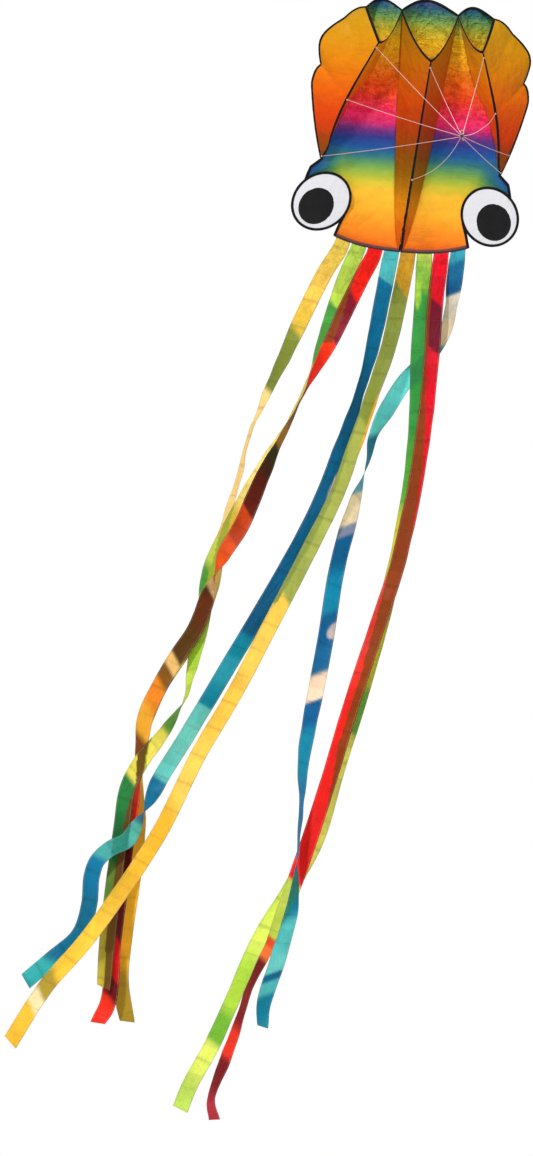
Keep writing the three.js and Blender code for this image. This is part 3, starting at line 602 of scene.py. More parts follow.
def make_camera():
    """A far camera with a long lens, turned and rolled as the photo is."""
    turn, roll = math.radians(CAMERA_TURN), math.radians(CAMERA_ROLL)
    right = Vector((math.cos(turn) * math.cos(roll), math.sin(turn) * math.cos(roll), math.sin(roll)))
    up = Vector((-math.cos(turn) * math.sin(roll), -math.sin(turn) * math.sin(roll), math.cos(roll)))
    back = Vector((math.sin(turn), -math.cos(turn), 0))
    hem_centre = Vector(sail_point(0, 0))
    centre = hem_centre + right * PICTURE_CENTRE[0] + up * PICTURE_CENTRE[1]
    place = centre + back * CAMERA_DISTANCE
    data = bpy.data.cameras.new("camera")
    data.sensor_fit = "VERTICAL"
    data.sensor_width = data.sensor_height = CAMERA_SENSOR
    data.lens = CAMERA_LENS
    data.clip_start = 0.5
    data.clip_end = 4 * CAMERA_DISTANCE
    camera = bpy.data.objects.new("camera", data)
    bpy.context.scene.collection.objects.link(camera)
    camera.matrix_world = Matrix((*zip(right, up, back, place), (0, 0, 0, 1)))
    bpy.context.scene.camera = camera


make_camera()


# ---------------------------------------------------------------- cords

def tube_object(name, points, radius, closed=False, corners=10):
    """A round cord along points, as a mesh whose rings don't twist."""
    points = np.asarray(points, float)
    if closed:
        tangent = unit(np.roll(points, -1, axis=0) - np.roll(points, 1, axis=0))
    else:
        tangent = unit(np.gradient(points, axis=0))
    side = unit(np.cross(tangent[0], [0.3, 0.1, 1.0]))
    sides = []
    for direction in tangent:
        side = unit(side - direction * (side @ direction))
        sides.append(side)
    sides = np.array(sides)
    if closed:
        other = np.cross(tangent[0], sides[0])
        last = unit(sides[-1] - tangent[0] * (sides[-1] @ tangent[0]))
        slip = math.atan2(last @ other, last @ sides[0])
    else:
        slip = 0.0
    turn = np.linspace(0, 2 * np.pi, corners, endpoint=False)
    rings = []
    for k, (point, direction, side) in enumerate(zip(points, tangent, sides)):
        angle = turn - slip * k / len(points)
        other = np.cross(direction, side)
        rings.append(point + radius * (np.cos(angle)[:, None] * side + np.sin(angle)[:, None] * other))
    return ring_object(name, np.array(rings), closed=closed)


def edge_attachment(side, height):
    x = np.interp(height, upper_outline[:, 1], upper_outline[:, 0]) - EDGE_INSET
    return sail_point(side * x, height, FRONT_PLY)


LEGS = {
    "bridle_left_top": ((-1, 1), left_keel.ridge(0.95), []),
    "bridle_left_middle": ((-1, 0), left_keel.ridge(0.5), []),
    "bridle_left_low": ((-1, -1), edge_attachment(-1, 0.300), []),
    "bridle_centre_top": ((0, 1), centre_keel.ridge(0.96), []),
    "bridle_centre_low": ((0, -0.5), centre_keel.ridge(0.36),
                          [(.012, .260, -.040), (.020, .560, -.073), (.017, .850, -.096)]),
    "bridle_right_top": ((1, 1), right_keel.ridge(0.95), []),
    "bridle_right_middle": ((1, 0), right_keel.ridge(0.5),
                            [(.077, .260, .025), (.149, .540, .062), (.211, .800, .097)]),
    "bridle_right_edge": ((2, -0.3), edge_attachment(1, 0.362), []),
    "bridle_right_low": ((1, -1), edge_attachment(1, 0.300), []),
}


def hitch_points(centre, along):
    """A small overhand knot round a leg's end, as one closed line."""
    turn = np.linspace(0, 2 * np.pi, 48, endpoint=False)
    side = unit(np.cross(along, [0.1, 0.2, 1.0]))
    other = np.cross(along, side)
    radius = HITCH_SIZE * (1 + 0.35 * np.cos(3 * turn))
    return (centre + side * (radius * np.cos(2 * turn))[:, None]
            + other * (radius * np.sin(2 * turn))[:, None]
            + along * (HITCH_SIZE * 0.75 * np.sin(3 * turn))[:, None])


def make_bridle():
    legs = {}
    for name, (place, end, slack) in LEGS.items():
        start = np.array([place[0] * LEG_SPACING, LEG_START, place[1] * LEG_SPACING])
        stop = end - np.array([0, LEG_END_GAP, 0])
        points = np.vstack([start, *[np.array(point)[None] for point in slack], stop])
        if slack:
            path = Line(points, centripetal=True).at(span(33))
        else:
            path = start + (stop - start) * span(17)[:, None]
            path[:, 2] -= arch(span(17)) * LEG_SAG
        leg = tube_object(name + "_cord", path, CORD_DIAMETER / 2)
        along = unit(path[-1] - path[-2])
        hitch = tube_object(name + "_hitch", hitch_points(path[-1] - along * HITCH_BACK, along),
                            HITCH_CORD_RADIUS, closed=True, corners=8)
        for piece in (leg, hitch):
            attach(piece, "root")
        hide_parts(name)
        legs[name] = (leg, hitch)
    return legs


legs = make_bridle()


def make_tow_point():
    turn = np.linspace(0, 2 * np.pi, 160, endpoint=False)
    size = KNOT_RADIUS * 0.58
    radius = size * (1.0 + 0.42 * np.cos(4 * turn))
    knot = np.stack([radius * np.cos(3 * turn), size * 0.92 * np.sin(4 * turn),
                     radius * np.sin(3 * turn)], axis=-1)
    ball = tube_object("tow_point_knot", knot, KNOT_CORD_RADIUS, closed=True)
    turn = np.linspace(-0.5 * np.pi, 1.5 * np.pi, 60)
    loop = np.stack([LOOP_RADIUS * np.cos(turn), 0.0009 * np.sin(2 * turn),
                     KNOT_RADIUS + LOOP_RADIUS + 0.0012 + LOOP_RADIUS * 1.1 * np.sin(turn)], axis=-1)
    ring = tube_object("tow_point_loop", loop, LOOP_CORD_RADIUS)
    end = tube_object("tow_point_cord_end", Line(CORD_END, centripetal=True).at(span(14)),
                      CORD_DIAMETER / 2)
    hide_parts("tow_knot")
    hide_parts("tow_loop")
    for piece, slot in ((ball, "knot"), (ring, "cord"), (end, "cord")):
        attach(piece, "root")
    return ball, ring, end


tow_knot, tow_loop, tow_end = make_tow_point()


# ---------------------------------------------------------------- sail and keel panels

def centre_back_points():
    rows, columns = 150, 43
    heights = np.concatenate([[0.004, 0.010, 0.018], np.linspace(0.026, GATHER_HEIGHT, rows - 3)])
    across = span(columns)
    height = heights[:, None]
    half = centre_root_x(height)
    grown = height / GATHER_HEIGHT
    rise = CENTRE_DOME_RISE * np.sin(np.pi * across) * grown ** 8
    return sail_point(mix(-half, half, across), height + rise, CENTRE_BULGE * grown * arch(across))


def wedge_points(side):
    rows, columns = 156, 47
    levels = np.linspace(0.006, GATHER_HEIGHT - 0.003, rows)
    corners = [point[1] for point in LOWER_SIDE[2:]]
    for corner in corners:
        levels[np.argmin(np.abs(levels - corner))] = corner
    fade = np.clip((0.100 - levels) / (0.100 - HEM_BAND), 0, 1)
    outline = offset_outline(side_outline, -EDGE_INSET)
    root = side_root.at(span(400))

    def outer_at(height):
        edge = np.interp(height, outline[:, 1], outline[:, 0])
        seam = np.interp(height, root[:, 1], root[:, 0])
        return np.where(height < LOWER_SIDE[-1][1], edge, np.minimum(edge, seam))

    outer = outer_at(levels + hem_lift(outer_at(levels)) * fade)
    inner = centre_root_x(levels)
    across = span(columns)
    x = mix(inner[:, None], outer[:, None], across)
    bulge = WEDGE_BULGE * arch(across) * np.minimum(1, (outer - inner) / GATHER_X)[:, None]
    height = levels[:, None] + hem_lift(x) * fade[:, None]
    return sail_point(side * x, height, bulge)


def side_back_points(side):
    rows, columns = 104, 47
    share = np.linspace(0.004, 1, rows)
    root = side_root.at(share)
    outer = offset_outline(upper_outline, -EDGE_INSET)
    place = share * (len(outer) - 1)
    steps = np.arange(len(outer))
    edge_x = np.interp(place, steps, outer[:, 0])
    edge_height = np.interp(place, steps, outer[:, 1])
    across = span(columns)
    grown = share[:, None]
    rise = SIDE_DOME_RISE * np.sin(np.pi * across) * grown ** 8
    back = SIDE_BULGE * grown ** 0.8 * arch(across)
    x = mix(root[:, :1], edge_x[:, None], across)
    height = mix(root[:, 1:2], edge_height[:, None], across) + rise
    return sail_point(side * x, height, back)


def panel_grid(line, keel, share, across, dip):
    """Points between a seam and a ridge, bulging forward and dipping at the mouth."""
    share, across = np.asarray(share, float), np.asarray(across, float)
    points = mix(line(share)[:, None], keel.ridge(share)[:, None], across[None, :, None])
    grown = np.clip(share, 0, 1)[:, None]
    points[..., 1] -= PANEL_BULGE * grown * arch(across)
    points[..., 2] -= dip * grown ** MOUTH_DIP_POWER * arch(across)
    return points


def panel_points(keel, side, rows, columns):
    share = np.linspace(keel.low, 0.992, rows)
    return panel_grid(keel.lines[side], keel, share, span(columns), keel.dips[side])


SIDES = {"left": left_keel, "right": right_keel}
# name: (points, CAD node, growth of the cloth, how far a point may move, grain of its folds)
SHEETS = {"sail_centre_gore": (centre_back_points(), "centre_cell_back", 0.050, 0.014,
                               (3.0, 3.0, 0.0022))}
for hand, keel in SIDES.items():
    SHEETS["sail_%s_wedge" % hand] = (wedge_points(keel.side), hand + "_wedge_gore", 0.060, 0.013,
                                      (1.1, 8.0, 0.0030))
for hand, keel in SIDES.items():
    SHEETS["sail_%s_cell" % hand] = (side_back_points(keel.side), hand + "_cell_back", 0.050, 0.013,
                                     (4.0, 2.0, 0.0022))
for k, hand in enumerate(SIDES):
    SHEETS["keel_centre_" + hand] = (panel_points(centre_keel, k, 128, 34),
                                     "centre_keel_%s_panel" % hand, 0.010, 0.006, (14.0, 3.0, 0.0012))
for hand, keel in SIDES.items():
    SHEETS["keel_%s_inner" % hand] = (panel_points(keel, 0, 96, 26), hand + "_keel_inner_panel",
                                      0.010, 0.005, (12.0, 3.0, 0.0010))
    SHEETS["keel_%s_outer" % hand] = (panel_points(keel, 1, 96, 38), hand + "_keel_outer_panel",
                                      0.012, 0.007, (12.0, 4.0, 0.0012))


def blurred(values, width, axis):
    """Values smoothed along one axis, with a bell of that many steps."""
    reach = int(math.ceil(width * 3))
    bell = np.exp(-0.5 * (np.arange(-reach, reach + 1) / width) ** 2)
    bell /= bell.sum()
    return np.apply_along_axis(lambda line: np.convolve(np.pad(line, reach, mode="reflect"), bell,
                                                        mode="valid"), axis, values)


def fold_pattern(rows, columns, grain):
    """Random folds that run further along one way of the grid than the other."""
    along, across, size = grain
    folds = blurred(blurred(random.standard_normal((rows, columns)), along, 0), across, 1)
    fine = blurred(blurred(random.standard_normal((rows, columns)), 1.0, 0), 1.0, 1)
    return size * (folds / folds.std() + 0.3 * fine / fine.std())


def slackness(z):
    """The sail is taut and smooth above the hem, and loose where the keels gather it."""
    return 0.12 + 0.88 * smooth((z + HEM_DROP - 0.36) / 0.14)


def add_cloth(sheet, rows, columns, growth, grain):
    mesh = sheet.data
    index = np.arange(rows * columns).reshape(rows, columns)
    rim = 1 if sheet.name.startswith("sail") else 3
    inner = index[rim:-rim, rim:-rim].ravel()
    border = np.setdiff1d(index.ravel(), inner)
    group = sheet.vertex_groups.new(name="sewn")
    group.add(border.tolist(), 1.0, "REPLACE")
    co = np.zeros(len(mesh.vertices) * 3)
    mesh.vertices.foreach_get("co", co)
    co = co.reshape(-1, 3)
    rest = co.copy()
    normals = np.zeros(len(mesh.vertices) * 3, np.float32)
    mesh.vertices.foreach_get("normal", normals)
    steps = np.minimum(np.minimum(*np.ogrid[0:rows, 0:columns]),
                       np.minimum(*np.ogrid[rows - 1:-1:-1, columns - 1:-1:-1]))
    lively = slackness(rest[:, 2]) if sheet.name.startswith("sail") else np.ones(len(rest))
    folds = fold_pattern(rows, columns, grain) * np.clip((steps - rim + 1) / 3, 0, 1)
    co[inner] += normals.reshape(-1, 3)[inner] * (folds.ravel() * lively)[inner, None]
    loose = sheet.vertex_groups.new(name="loose")
    for k in range(len(rest)):
        loose.add([k], float(lively[k]), "REPLACE")
    mesh.vertices.foreach_set("co", co.ravel())
    mesh.update()
    cloth = sheet.modifiers.new("cloth", "CLOTH")
    settings = cloth.settings
    settings.quality = 6
    settings.mass = 0.12
    settings.tension_stiffness = 20
    settings.compression_stiffness = 20
    settings.shear_stiffness = 8
    settings.bending_stiffness = 0.12
    settings.tension_damping = 8
    settings.compression_damping = 8
    settings.air_damping = 2
    settings.shrink_min = -0.1 * growth
    settings.shrink_max = -growth
    settings.vertex_group_shrink = "loose"
    settings.vertex_group_mass = "sewn"
    settings.effector_weights.gravity = 0
    cloth.collision_settings.use_collision = False
    cloth.collision_settings.use_self_collision = False
    cloth.point_cache.frame_start = 1
    cloth.point_cache.frame_end = SIM_FRAMES
    return rest


def settle(sheets):
    """Lets the oversize cloth buckle between its seams, and keeps the result."""
    scene = bpy.context.scene
    rests = {name: add_cloth(*sheets[name]) for name in sheets}
    for step in range(1, SIM_FRAMES + 1):
        scene.frame_set(step)
    graph = bpy.context.evaluated_depsgraph_get()
    for name, (sheet, *_) in sheets.items():
        evaluated = sheet.evaluated_get(graph)
        co = np.zeros(len(sheet.data.vertices) * 3)
        evaluated.data.vertices.foreach_get("co", co)
        move = co.reshape(-1, 3) - rests[name]
        size = np.linalg.norm(move, axis=1, keepdims=True)
        limit = SHEETS[name][3]
        move *= np.minimum(1, limit * np.tanh(size / limit) / np.maximum(size, 1e-9))
        sheet.modifiers.remove(sheet.modifiers["cloth"])
        sheet.data.vertices.foreach_set("co", (rests[name] + move).ravel())
        sheet.data.update()
    scene.frame_set(1)


def make_sheets():
    made = {}
    for name, (points, _, growth, _, grain) in SHEETS.items():
        sheet = grid_object(name, points)
        made[name] = (sheet, points.shape[0], points.shape[1], growth, grain)
    settle(made)
    for name, (sheet, *_) in made.items():
        solid = sheet.modifiers.new("thickness", "SOLIDIFY")
        solid.thickness = CLOTH_THICKNESS
        solid.offset = 0
        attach(sheet, "root")
        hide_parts(SHEETS[name][1])
    return {name: sheet for name, (sheet, *_) in made.items()}


sheets = make_sheets()


# ---------------------------------------------------------------- tapes and bindings

def ridge_tape(keel, name, node):
    """A tape folded over a ridge: two legs that lie on the panels, and a rounded fold."""
    share = np.linspace(keel.low + 0.001, 0.999, 150)
    ridge = keel.ridge(share)
    towards = [unit(line(share) - ridge) for line in keel.lines]
    front = -unit(towards[0] + towards[1])
    swell = 1 + 0.03 * np.convolve(random.standard_normal(len(share) + 4), np.ones(5) / 2.2, mode="valid")
    reach, skin = RIDGE_TAPE[0] * swell[:, None], RIDGE_TAPE[1]
    normals = [unit(front - leg * np.sum(front * leg, axis=1, keepdims=True)) for leg in towards]

    def outer(k, part, lift):
        return ridge + towards[k] * reach * part + normals[k] * skin * lift

    rings = [outer(0, 1.0, 0.1), outer(0, 0.97, 0.9), outer(0, 0.6, 1.1), outer(0, 0.2, 1.3),
             ridge + front * skin * 1.7,
             outer(1, 0.2, 1.3), outer(1, 0.6, 1.1), outer(1, 0.97, 0.9), outer(1, 1.0, 0.1),
             outer(1, 0.5, -0.1), ridge - front * skin * 0.4, outer(0, 0.5, -0.1)]
    tape = ring_object(name, np.stack(rings, axis=1))
    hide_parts(node)
    return tape


def mouth_tape(keel, name, node):
    across = span(30)
    halves, ups = [], []
    for line, dip in zip(keel.lines, keel.dips):
        low, middle, high = panel_grid(line, keel, [0.975, 0.994, 1.0], across, dip)
        halves.append(middle)
        ups.append(unit(high - low))
    path = np.vstack([halves[0], halves[1][::-1][1:]])
    up = np.vstack([ups[0], ups[1][::-1][1:]])
    tangent = unit(np.gradient(path, axis=0))
    up = unit(up - tangent * np.sum(up * tangent, axis=1, keepdims=True))
    tape = band_object(name, path, up, np.cross(tangent, up), *MOUTH_TAPE)
    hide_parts(node)
    return tape


def edge_binding(side, name, node):
    path = dense(side_outline, 0.006)
    inner = offset_outline(path, -0.0005)
    before = offset_outline(path, 1.0) - path
    out = unit(before)
    out = unit(np.stack([np.convolve(np.pad(out[:, k], 1, mode="edge"), [0.3, 0.4, 0.3], mode="valid")
                         for k in (0, 1)], axis=-1))
    centres = sail_point(side * inner[:, 0], inner[:, 1], FRONT_PLY / 2)
    across = unit(side * out[:, :1] * np.array([1.0, 0, 0]) + out[:, 1:] * UP_SAIL)
    normals = np.repeat(SAIL_FRONT[None], len(path), axis=0)
    # It is thicker where it also takes in a keel's outer panel, above the waist.
    bulk = mix(*EDGE_TAPE_BULK, smooth((path[:, 1] - 0.285) / 0.05))
    tape = band_object(name, centres, across, normals, EDGE_TAPE_HALF_WIDTH, bulk)
    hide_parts(node)
    return tape


def leading_arc(from_x, to_x, rise, bulge, count):
    share = span(count)
    return np.stack([mix(from_x, to_x, share), GATHER_HEIGHT + rise * np.sin(np.pi * share),
                     bulge * arch(share)], axis=-1)


def leading_binding():
    end = LOBES[2][3][0] + 0.001
    path = np.vstack([
        leading_arc(-end, -GATHER_X, SIDE_DOME_RISE, SIDE_BULGE, 28),
        leading_arc(-GATHER_X, GATHER_X, CENTRE_DOME_RISE, CENTRE_BULGE, 48)[1:],
        leading_arc(GATHER_X, end, SIDE_DOME_RISE, SIDE_BULGE, 28)[1:]])
    centres = sail_point(path[:, 0], path[:, 1] - 0.0005, path[:, 2])
    tangent = unit(np.gradient(centres, axis=0))
    up = np.array([0, 0, 1.0])
    up = unit(up - tangent * (tangent @ up)[:, None])
    tape = band_object("leading_edge_tape", centres, up, np.cross(tangent, up), *LEADING_TAPE)
    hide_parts("leading_edge_binding")
    return tape


def hem_piece():
    half = HEM_HALF_WIDTH - HEM_END_GAP
    x = np.linspace(-half, half, 120)
    middle = hem_lift(x) + HEM_BAND / 2
    centres = sail_point(x, middle)
    tangent = unit(np.gradient(centres, axis=0))
    up = np.cross(SAIL_FRONT, tangent)
    up *= np.sign(up[:, 2:])
    hem = band_object("hem_tape", centres, unit(up), np.repeat(SAIL_FRONT[None], len(x), axis=0),
                      *HEM_TAPE, pucker=0.09)
    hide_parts("trailing_hem")
    return hem


keels = {"centre": centre_keel, **SIDES}
tapes = [ridge_tape(keel, place + "_ridge_tape", place + "_keel_ridge_tape")
         for place, keel in keels.items()]
tapes += [mouth_tape(keel, place + "_mouth_tape", place + "_keel_mouth_binding")
          for place, keel in keels.items()]
tapes += [edge_binding(keel.side, hand + "_edge_tape", hand + "_edge_binding")
          for hand, keel in SIDES.items()]
tapes = {tape.name: tape for tape in [*tapes, leading_binding()]}
hem_tape = hem_piece()
for tape in tapes.values():
    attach(tape, "root")
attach(hem_tape, "root")


# ---------------------------------------------------------------- eyes

def turned_axes(turn):
    """The long and the short way of an eye whose long axis is turned up from level."""
    level = np.array([1.0, 0, 0])
    return (level * math.cos(turn) + UP_SAIL * math.sin(turn),
            UP_SAIL * math.cos(turn) - level * math.sin(turn))


def disc_object(name, centre, radii, turn, base, crown, drop, rings=26, segments=96, ripple=0.0):
    """A crowned cloth disc, closed behind: base is its height at the middle of its back."""
    long_way, short_way = turned_axes(turn)
    angles = np.linspace(0, 2 * np.pi, segments, endpoint=False)
    share = np.concatenate([np.linspace(0.02, 0.94, rings - 3), [0.965, 0.985, 1.0]])
    waves = sum(random.uniform(0.3, 1) * np.sin(k * angles + random.uniform(0, 6.28))
                for k in (7, 11, 17, 23, 31))
    vertices = [centre + SAIL_FRONT * (base + crown)]
    uvs = [(0, 0)]

    def point(part, angle, lift):
        return (centre + long_way * (radii[0] * part * np.cos(angle))
                + short_way * (radii[1] * part * np.sin(angle)) + SAIL_FRONT * lift)

    for part in share:
        lift = base + crown * (1 - part ** 2.6)
        lift = mix(lift, base - drop, smooth((part - 0.93) / 0.07))
        for k, angle in enumerate(angles):
            bump = ripple * waves[k] * part ** 3 * (1 - smooth((part - 0.9) / 0.1))
            vertices.append(point(part, angle, lift + bump))
            uvs.append((radii[0] * part * np.cos(angle), radii[1] * part * np.sin(angle)))
    back = len(vertices)
    for part in (0.985, 0.5):
        for k, angle in enumerate(angles):
            vertices.append(point(part, angle, base - drop - 0.0003))
            uvs.append((radii[0] * part * np.cos(angle), radii[1] * part * np.sin(angle)))
    vertices.append(centre + SAIL_FRONT * (base - drop - 0.0003))
    uvs.append((0, 0))
    faces = []
    for k in range(segments):
        n = (k + 1) % segments
        faces.append((0, 1 + k, 1 + n))
        for i in range(len(share) - 1):
            a = 1 + i * segments
            faces.append((a + k, a + segments + k, a + segments + n, a + n))
        a = 1 + (len(share) - 1) * segments
        faces.append((a + k, back + k, back + n, a + n))
        faces.append((back + k, back + segments + k, back + segments + n, back + n))
        faces.append((back + segments + k, len(vertices) - 1, back + segments + n))
    return add_object(name, vertices, faces, uvs)


def make_eye(side, name):
    centre = sail_point(side * EYE_X, EYE_HEIGHT, -EYE_FORWARD)
    white_radii = (EYE_RADIUS[0] - 0.006, EYE_RADIUS[1] - 0.006)
    turn = -side * EYE_TURN
    white = disc_object(name + "_cloth", centre, white_radii, turn, 0.0006, 0.0022, 0.0002,
                        ripple=0.00035)
    long_way, short_way = turned_axes(turn)
    angles = np.linspace(0, 2 * np.pi, 161)
    middle = (EYE_RADIUS[0] - EYE_RIM / 2, EYE_RADIUS[1] - EYE_RIM / 2)
    centres = (centre + SAIL_FRONT * 0.0008 + np.outer(np.cos(angles) * middle[0], long_way)
               + np.outer(np.sin(angles) * middle[1], short_way))
    out = unit(np.outer(np.cos(angles) / middle[0], long_way)
               + np.outer(np.sin(angles) / middle[1], short_way))
    rim = band_object(name + "_rim_tape", centres, out, np.repeat(SAIL_FRONT[None], len(angles), axis=0),
                      *EYE_TAPE)
    pupil_back = -EYE_FORWARD - 0.0014 * math.hypot(1, LEAN)
    pupil_centre = sail_point(side * (EYE_X + PUPIL_OUT), EYE_HEIGHT - PUPIL_DOWN, pupil_back)
    pupil = disc_object(name + "_pupil_cloth", pupil_centre, PUPIL_RADIUS, -side * PUPIL_TURN,
                        0.0016, 0.0012, 0.0010, rings=20, ripple=0.00025)
    for piece, node, slot in ((white, "_white", "eye_white"), (rim, "_rim", "binding"),
                              (pupil, "_pupil", "binding")):
        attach(piece, "root")
        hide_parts(name + node)
    return white, rim, pupil


eyes = {name: make_eye(side, name) for side, name in ((-1, "left_eye"), (1, "right_eye"))}


# ---------------------------------------------------------------- tails

def tail_shape(index, name):
    route = np.array(ROUTES[name], float)
    top_x = (index - 3.5) * TAIL_PITCH
    top = sail_point(top_x, hem_lift(top_x) - TAIL_GAP)
    points = np.vstack([top, np.stack([route[:, 0], HEM_BACK * 1000 + route[:, 2], route[:, 1]],
                                      axis=-1) / 1000])
    twists = np.concatenate([[0], route[:, 3]])
    count = len(points) - 1
    fine = np.linspace(0, count, count * 80 + 1)
    line = curve_through(points, fine, centripetal=True)
    reach = np.concatenate([[0], np.cumsum(np.linalg.norm(np.diff(line, axis=0), axis=1))])
    length = reach[-1]
    rows = int(length / TAIL_STEP)
    where = np.linspace(0, length, rows + 1)
    places = np.interp(where, reach, fine)
    centre = curve_through(points, places, centripetal=True)
    tangent = unit(np.gradient(centre, axis=0))
    across = unit(np.stack([-tangent[:, 2], np.zeros(rows + 1), tangent[:, 0]], axis=-1))
    angle = np.radians(np.interp(places, np.arange(count + 1), twists))
    angle = angle + np.radians(2.5) * np.sin(where * 19 + index) * smooth(where / 0.3)
    cos, sin = np.cos(angle)[:, None], np.sin(angle)[:, None]
    dot = np.sum(tangent * across, axis=1, keepdims=True)
    across = across * cos + np.cross(tangent, across) * sin + tangent * dot * (1 - cos)
    # At the top the tail's width follows the hem.
    join = smooth(where / 0.06)[:, None]
    left = sail_point(top_x - 0.01, hem_lift(top_x - 0.01))
    right = sail_point(top_x + 0.01, hem_lift(top_x + 0.01))
    across = unit(mix(unit(right - left)[None], across, join))
    normal = unit(np.cross(tangent, across))
    return where, centre, across, normal, length


def tail_rings(index, name):
    where, centre, across, normal, length = tail_shape(index, name)
    phase = random.uniform(0, 6.28, 4)
    half = mix(TAIL_TOP_WIDTH, TAIL_WIDTH, smooth(where / 0.05)) / 2
    loose = smooth(where / 0.15)
    fold = where / FOLD_PITCH + phase[0] / 6.28
    zigzag = np.abs((fold % 2) - 1) - 0.5
    crisp = 1 + 0.35 * np.sin(where * 3.1 + phase[3])
    wave = (0.0020 * zigzag * crisp + 0.0012 * np.sin(where * 23 + phase[1])
            + 0.0006 * np.sin(where * 61 + phase[2])) * loose
    cup = (0.0022 * np.sin(where * 7.3 + phase[2]) + 0.0010 * np.sin(where * 17 + phase[1])) * loose
    edge_wave = 0.0009 * loose
    half_fold = (HEM_FOLD * 2 / TAIL_WIDTH)
    inside = 1 - half_fold * 1.35
    middle = np.linspace(-inside, inside, 10)
    edge = np.array([1 - half_fold, 1 - half_fold * 0.5, 1])
    places = np.concatenate([-edge[::-1], middle, edge])
    skins = np.concatenate([[0.00045, 0.0007, 0.0006], np.full(len(middle), 0.00025),
                            [0.0006, 0.0007, 0.00045]])
    upper, lower, lay_upper = [], [], []
    for place, skin in zip(places, skins):
        lift = wave + cup * (place ** 2 - 0.4)
        lift = lift + edge_wave * np.sin(where * 47 + phase[3] + place * 1.3) * abs(place) ** 3
        base = centre + across * (half * place)[:, None] + normal * lift[:, None]
        upper.append(base + normal * skin)
        lower.append(base - normal * skin)
        lay_upper.append(np.stack([half * 0 + place * TAIL_WIDTH / 2, where], axis=-1))
    rings = np.stack(upper + lower[::-1], axis=1)
    uvs = np.stack(lay_upper + lay_upper[::-1], axis=1)
    # The end is cut a little off square, with a corner or two pulled out of line.
    slant = random.uniform(-0.010, 0.010)
    side = np.concatenate([places, places[::-1]])
    tangent_end = unit(centre[-1] - centre[-2])
    rings[-1] += tangent_end * (slant * side)[:, None]
    rings[-2] += tangent_end * (slant * side * 0.5)[:, None]
    # The top tucks up behind the hem.
    rings[0] += UP_SAIL * TAIL_TUCK - SAIL_FRONT * 0.0016
    rings[1] -= SAIL_FRONT * 0.0008
    return rings, uvs, float(length)


def make_tails():
    made = {}
    for index, name in enumerate(ROUTES):
        rings, uvs, length = tail_rings(index, name)
        tail = ring_object(name.replace("tail", "ribbon"), rings, uvs)
        made[name] = (tail, rings, length)
    return made


tails = make_tails()


def colour_at(name, heights):
    """The colour at each height; it changes over the middle of the stretch between two stops."""
    stops = TAIL_COLOURS[name][::-1]
    places = np.array([stop[0] for stop in stops])
    colours = np.array([linear(stop[1]) for stop in stops])
    count = np.interp(heights, places, np.arange(len(stops)))
    low = np.minimum(count.astype(int), len(stops) - 2)
    share = smooth((count - low - 0.5) * 2.4 + 0.5)[:, None]
    return mix(colours[low], colours[low + 1], share)


def paint_tails():
    """Stores each tail's colour point by point: its dyed colour with painted shade and painted glare, and
    painted light shining through from the tails behind.
    """
    trees = {name: BVHTree.FromPolygons([tuple(v) for v in rings.reshape(-1, 3)],
                                        [tuple(p.vertices) for p in tail.data.polygons])
             for name, (tail, rings, _) in tails.items()}
    back = Vector((0, 1, 0))
    for name, (tail, rings, _) in tails.items():
        points = rings.reshape(-1, 3)
        middle = rings.mean(axis=1, keepdims=True)
        slant = ((rings - middle)[..., 0] * TAIL_SLANT[name]).ravel()
        tint = colour_at(name, points[:, 2] + slant)
        own = name.split("_")[-1]
        for other, tree in trees.items():
            pair = THROUGH.get((own, other.split("_")[-1]))
            if other == name or pair is None:
                continue
            low, high = tails[other][1].min(axis=(0, 1)), tails[other][1].max(axis=(0, 1))
            lowest, drop = OWN_COLOURS_BELOW.get(name, (low[2], 0))
            lowest = lowest - drop * (rings - middle)[..., 0].ravel()
            near = np.where((points[:, 0] > low[0]) & (points[:, 0] < high[0]) & (points[:, 2] > lowest)
                            & (points[:, 2] > low[2]) & (points[:, 2] < high[2]))[0]
            # Painted light: where another tail lies close behind, the colour turns into that of light
            # shining through both.
            for k in near:
                hit = tree.ray_cast(Vector(points[k]) + back * 0.002, back, 0.16)
                if hit[0] is not None:
                    tint[k] = mix(tint[k], linear(pair), 0.92)
        for z, place, long, wide, colour in GLARE.get(name, []):
            along = (points[:, 2] + slant - z) / long
            aside = ((rings - middle)[..., 0].ravel() / (TAIL_WIDTH / 2) - place) / wide
            amount = 1 - smooth((np.hypot(along, aside) - 0.8) / 0.3)
            tint = mix(tint, linear(colour), amount[:, None])
        # The stored colour holds the dyed colour with painted shade, painted glare and painted light shining
        # through.
        body = tail.data.attributes.new("dye_and_painted_light", "FLOAT_VECTOR", "POINT")
        body.data.foreach_set("vector", tint.astype(np.float32).ravel())


paint_tails()

for index, (name, (tail, rings, length)) in enumerate(tails.items()):
    body = "tail_%d" % (index + 1)
    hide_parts(name)
    top_x = (index - 3.5) * TAIL_PITCH
    start = sail_point(top_x, hem_lift(top_x) - 0.004)
    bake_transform(tail)
    ({"yellow": "tail_yellow", "lime": "tail_lime", "red": "tail_red",
                   "blue": "tail_blue"}[name.split("_")[-1]])


# ---------------------------------------------------------------- materials

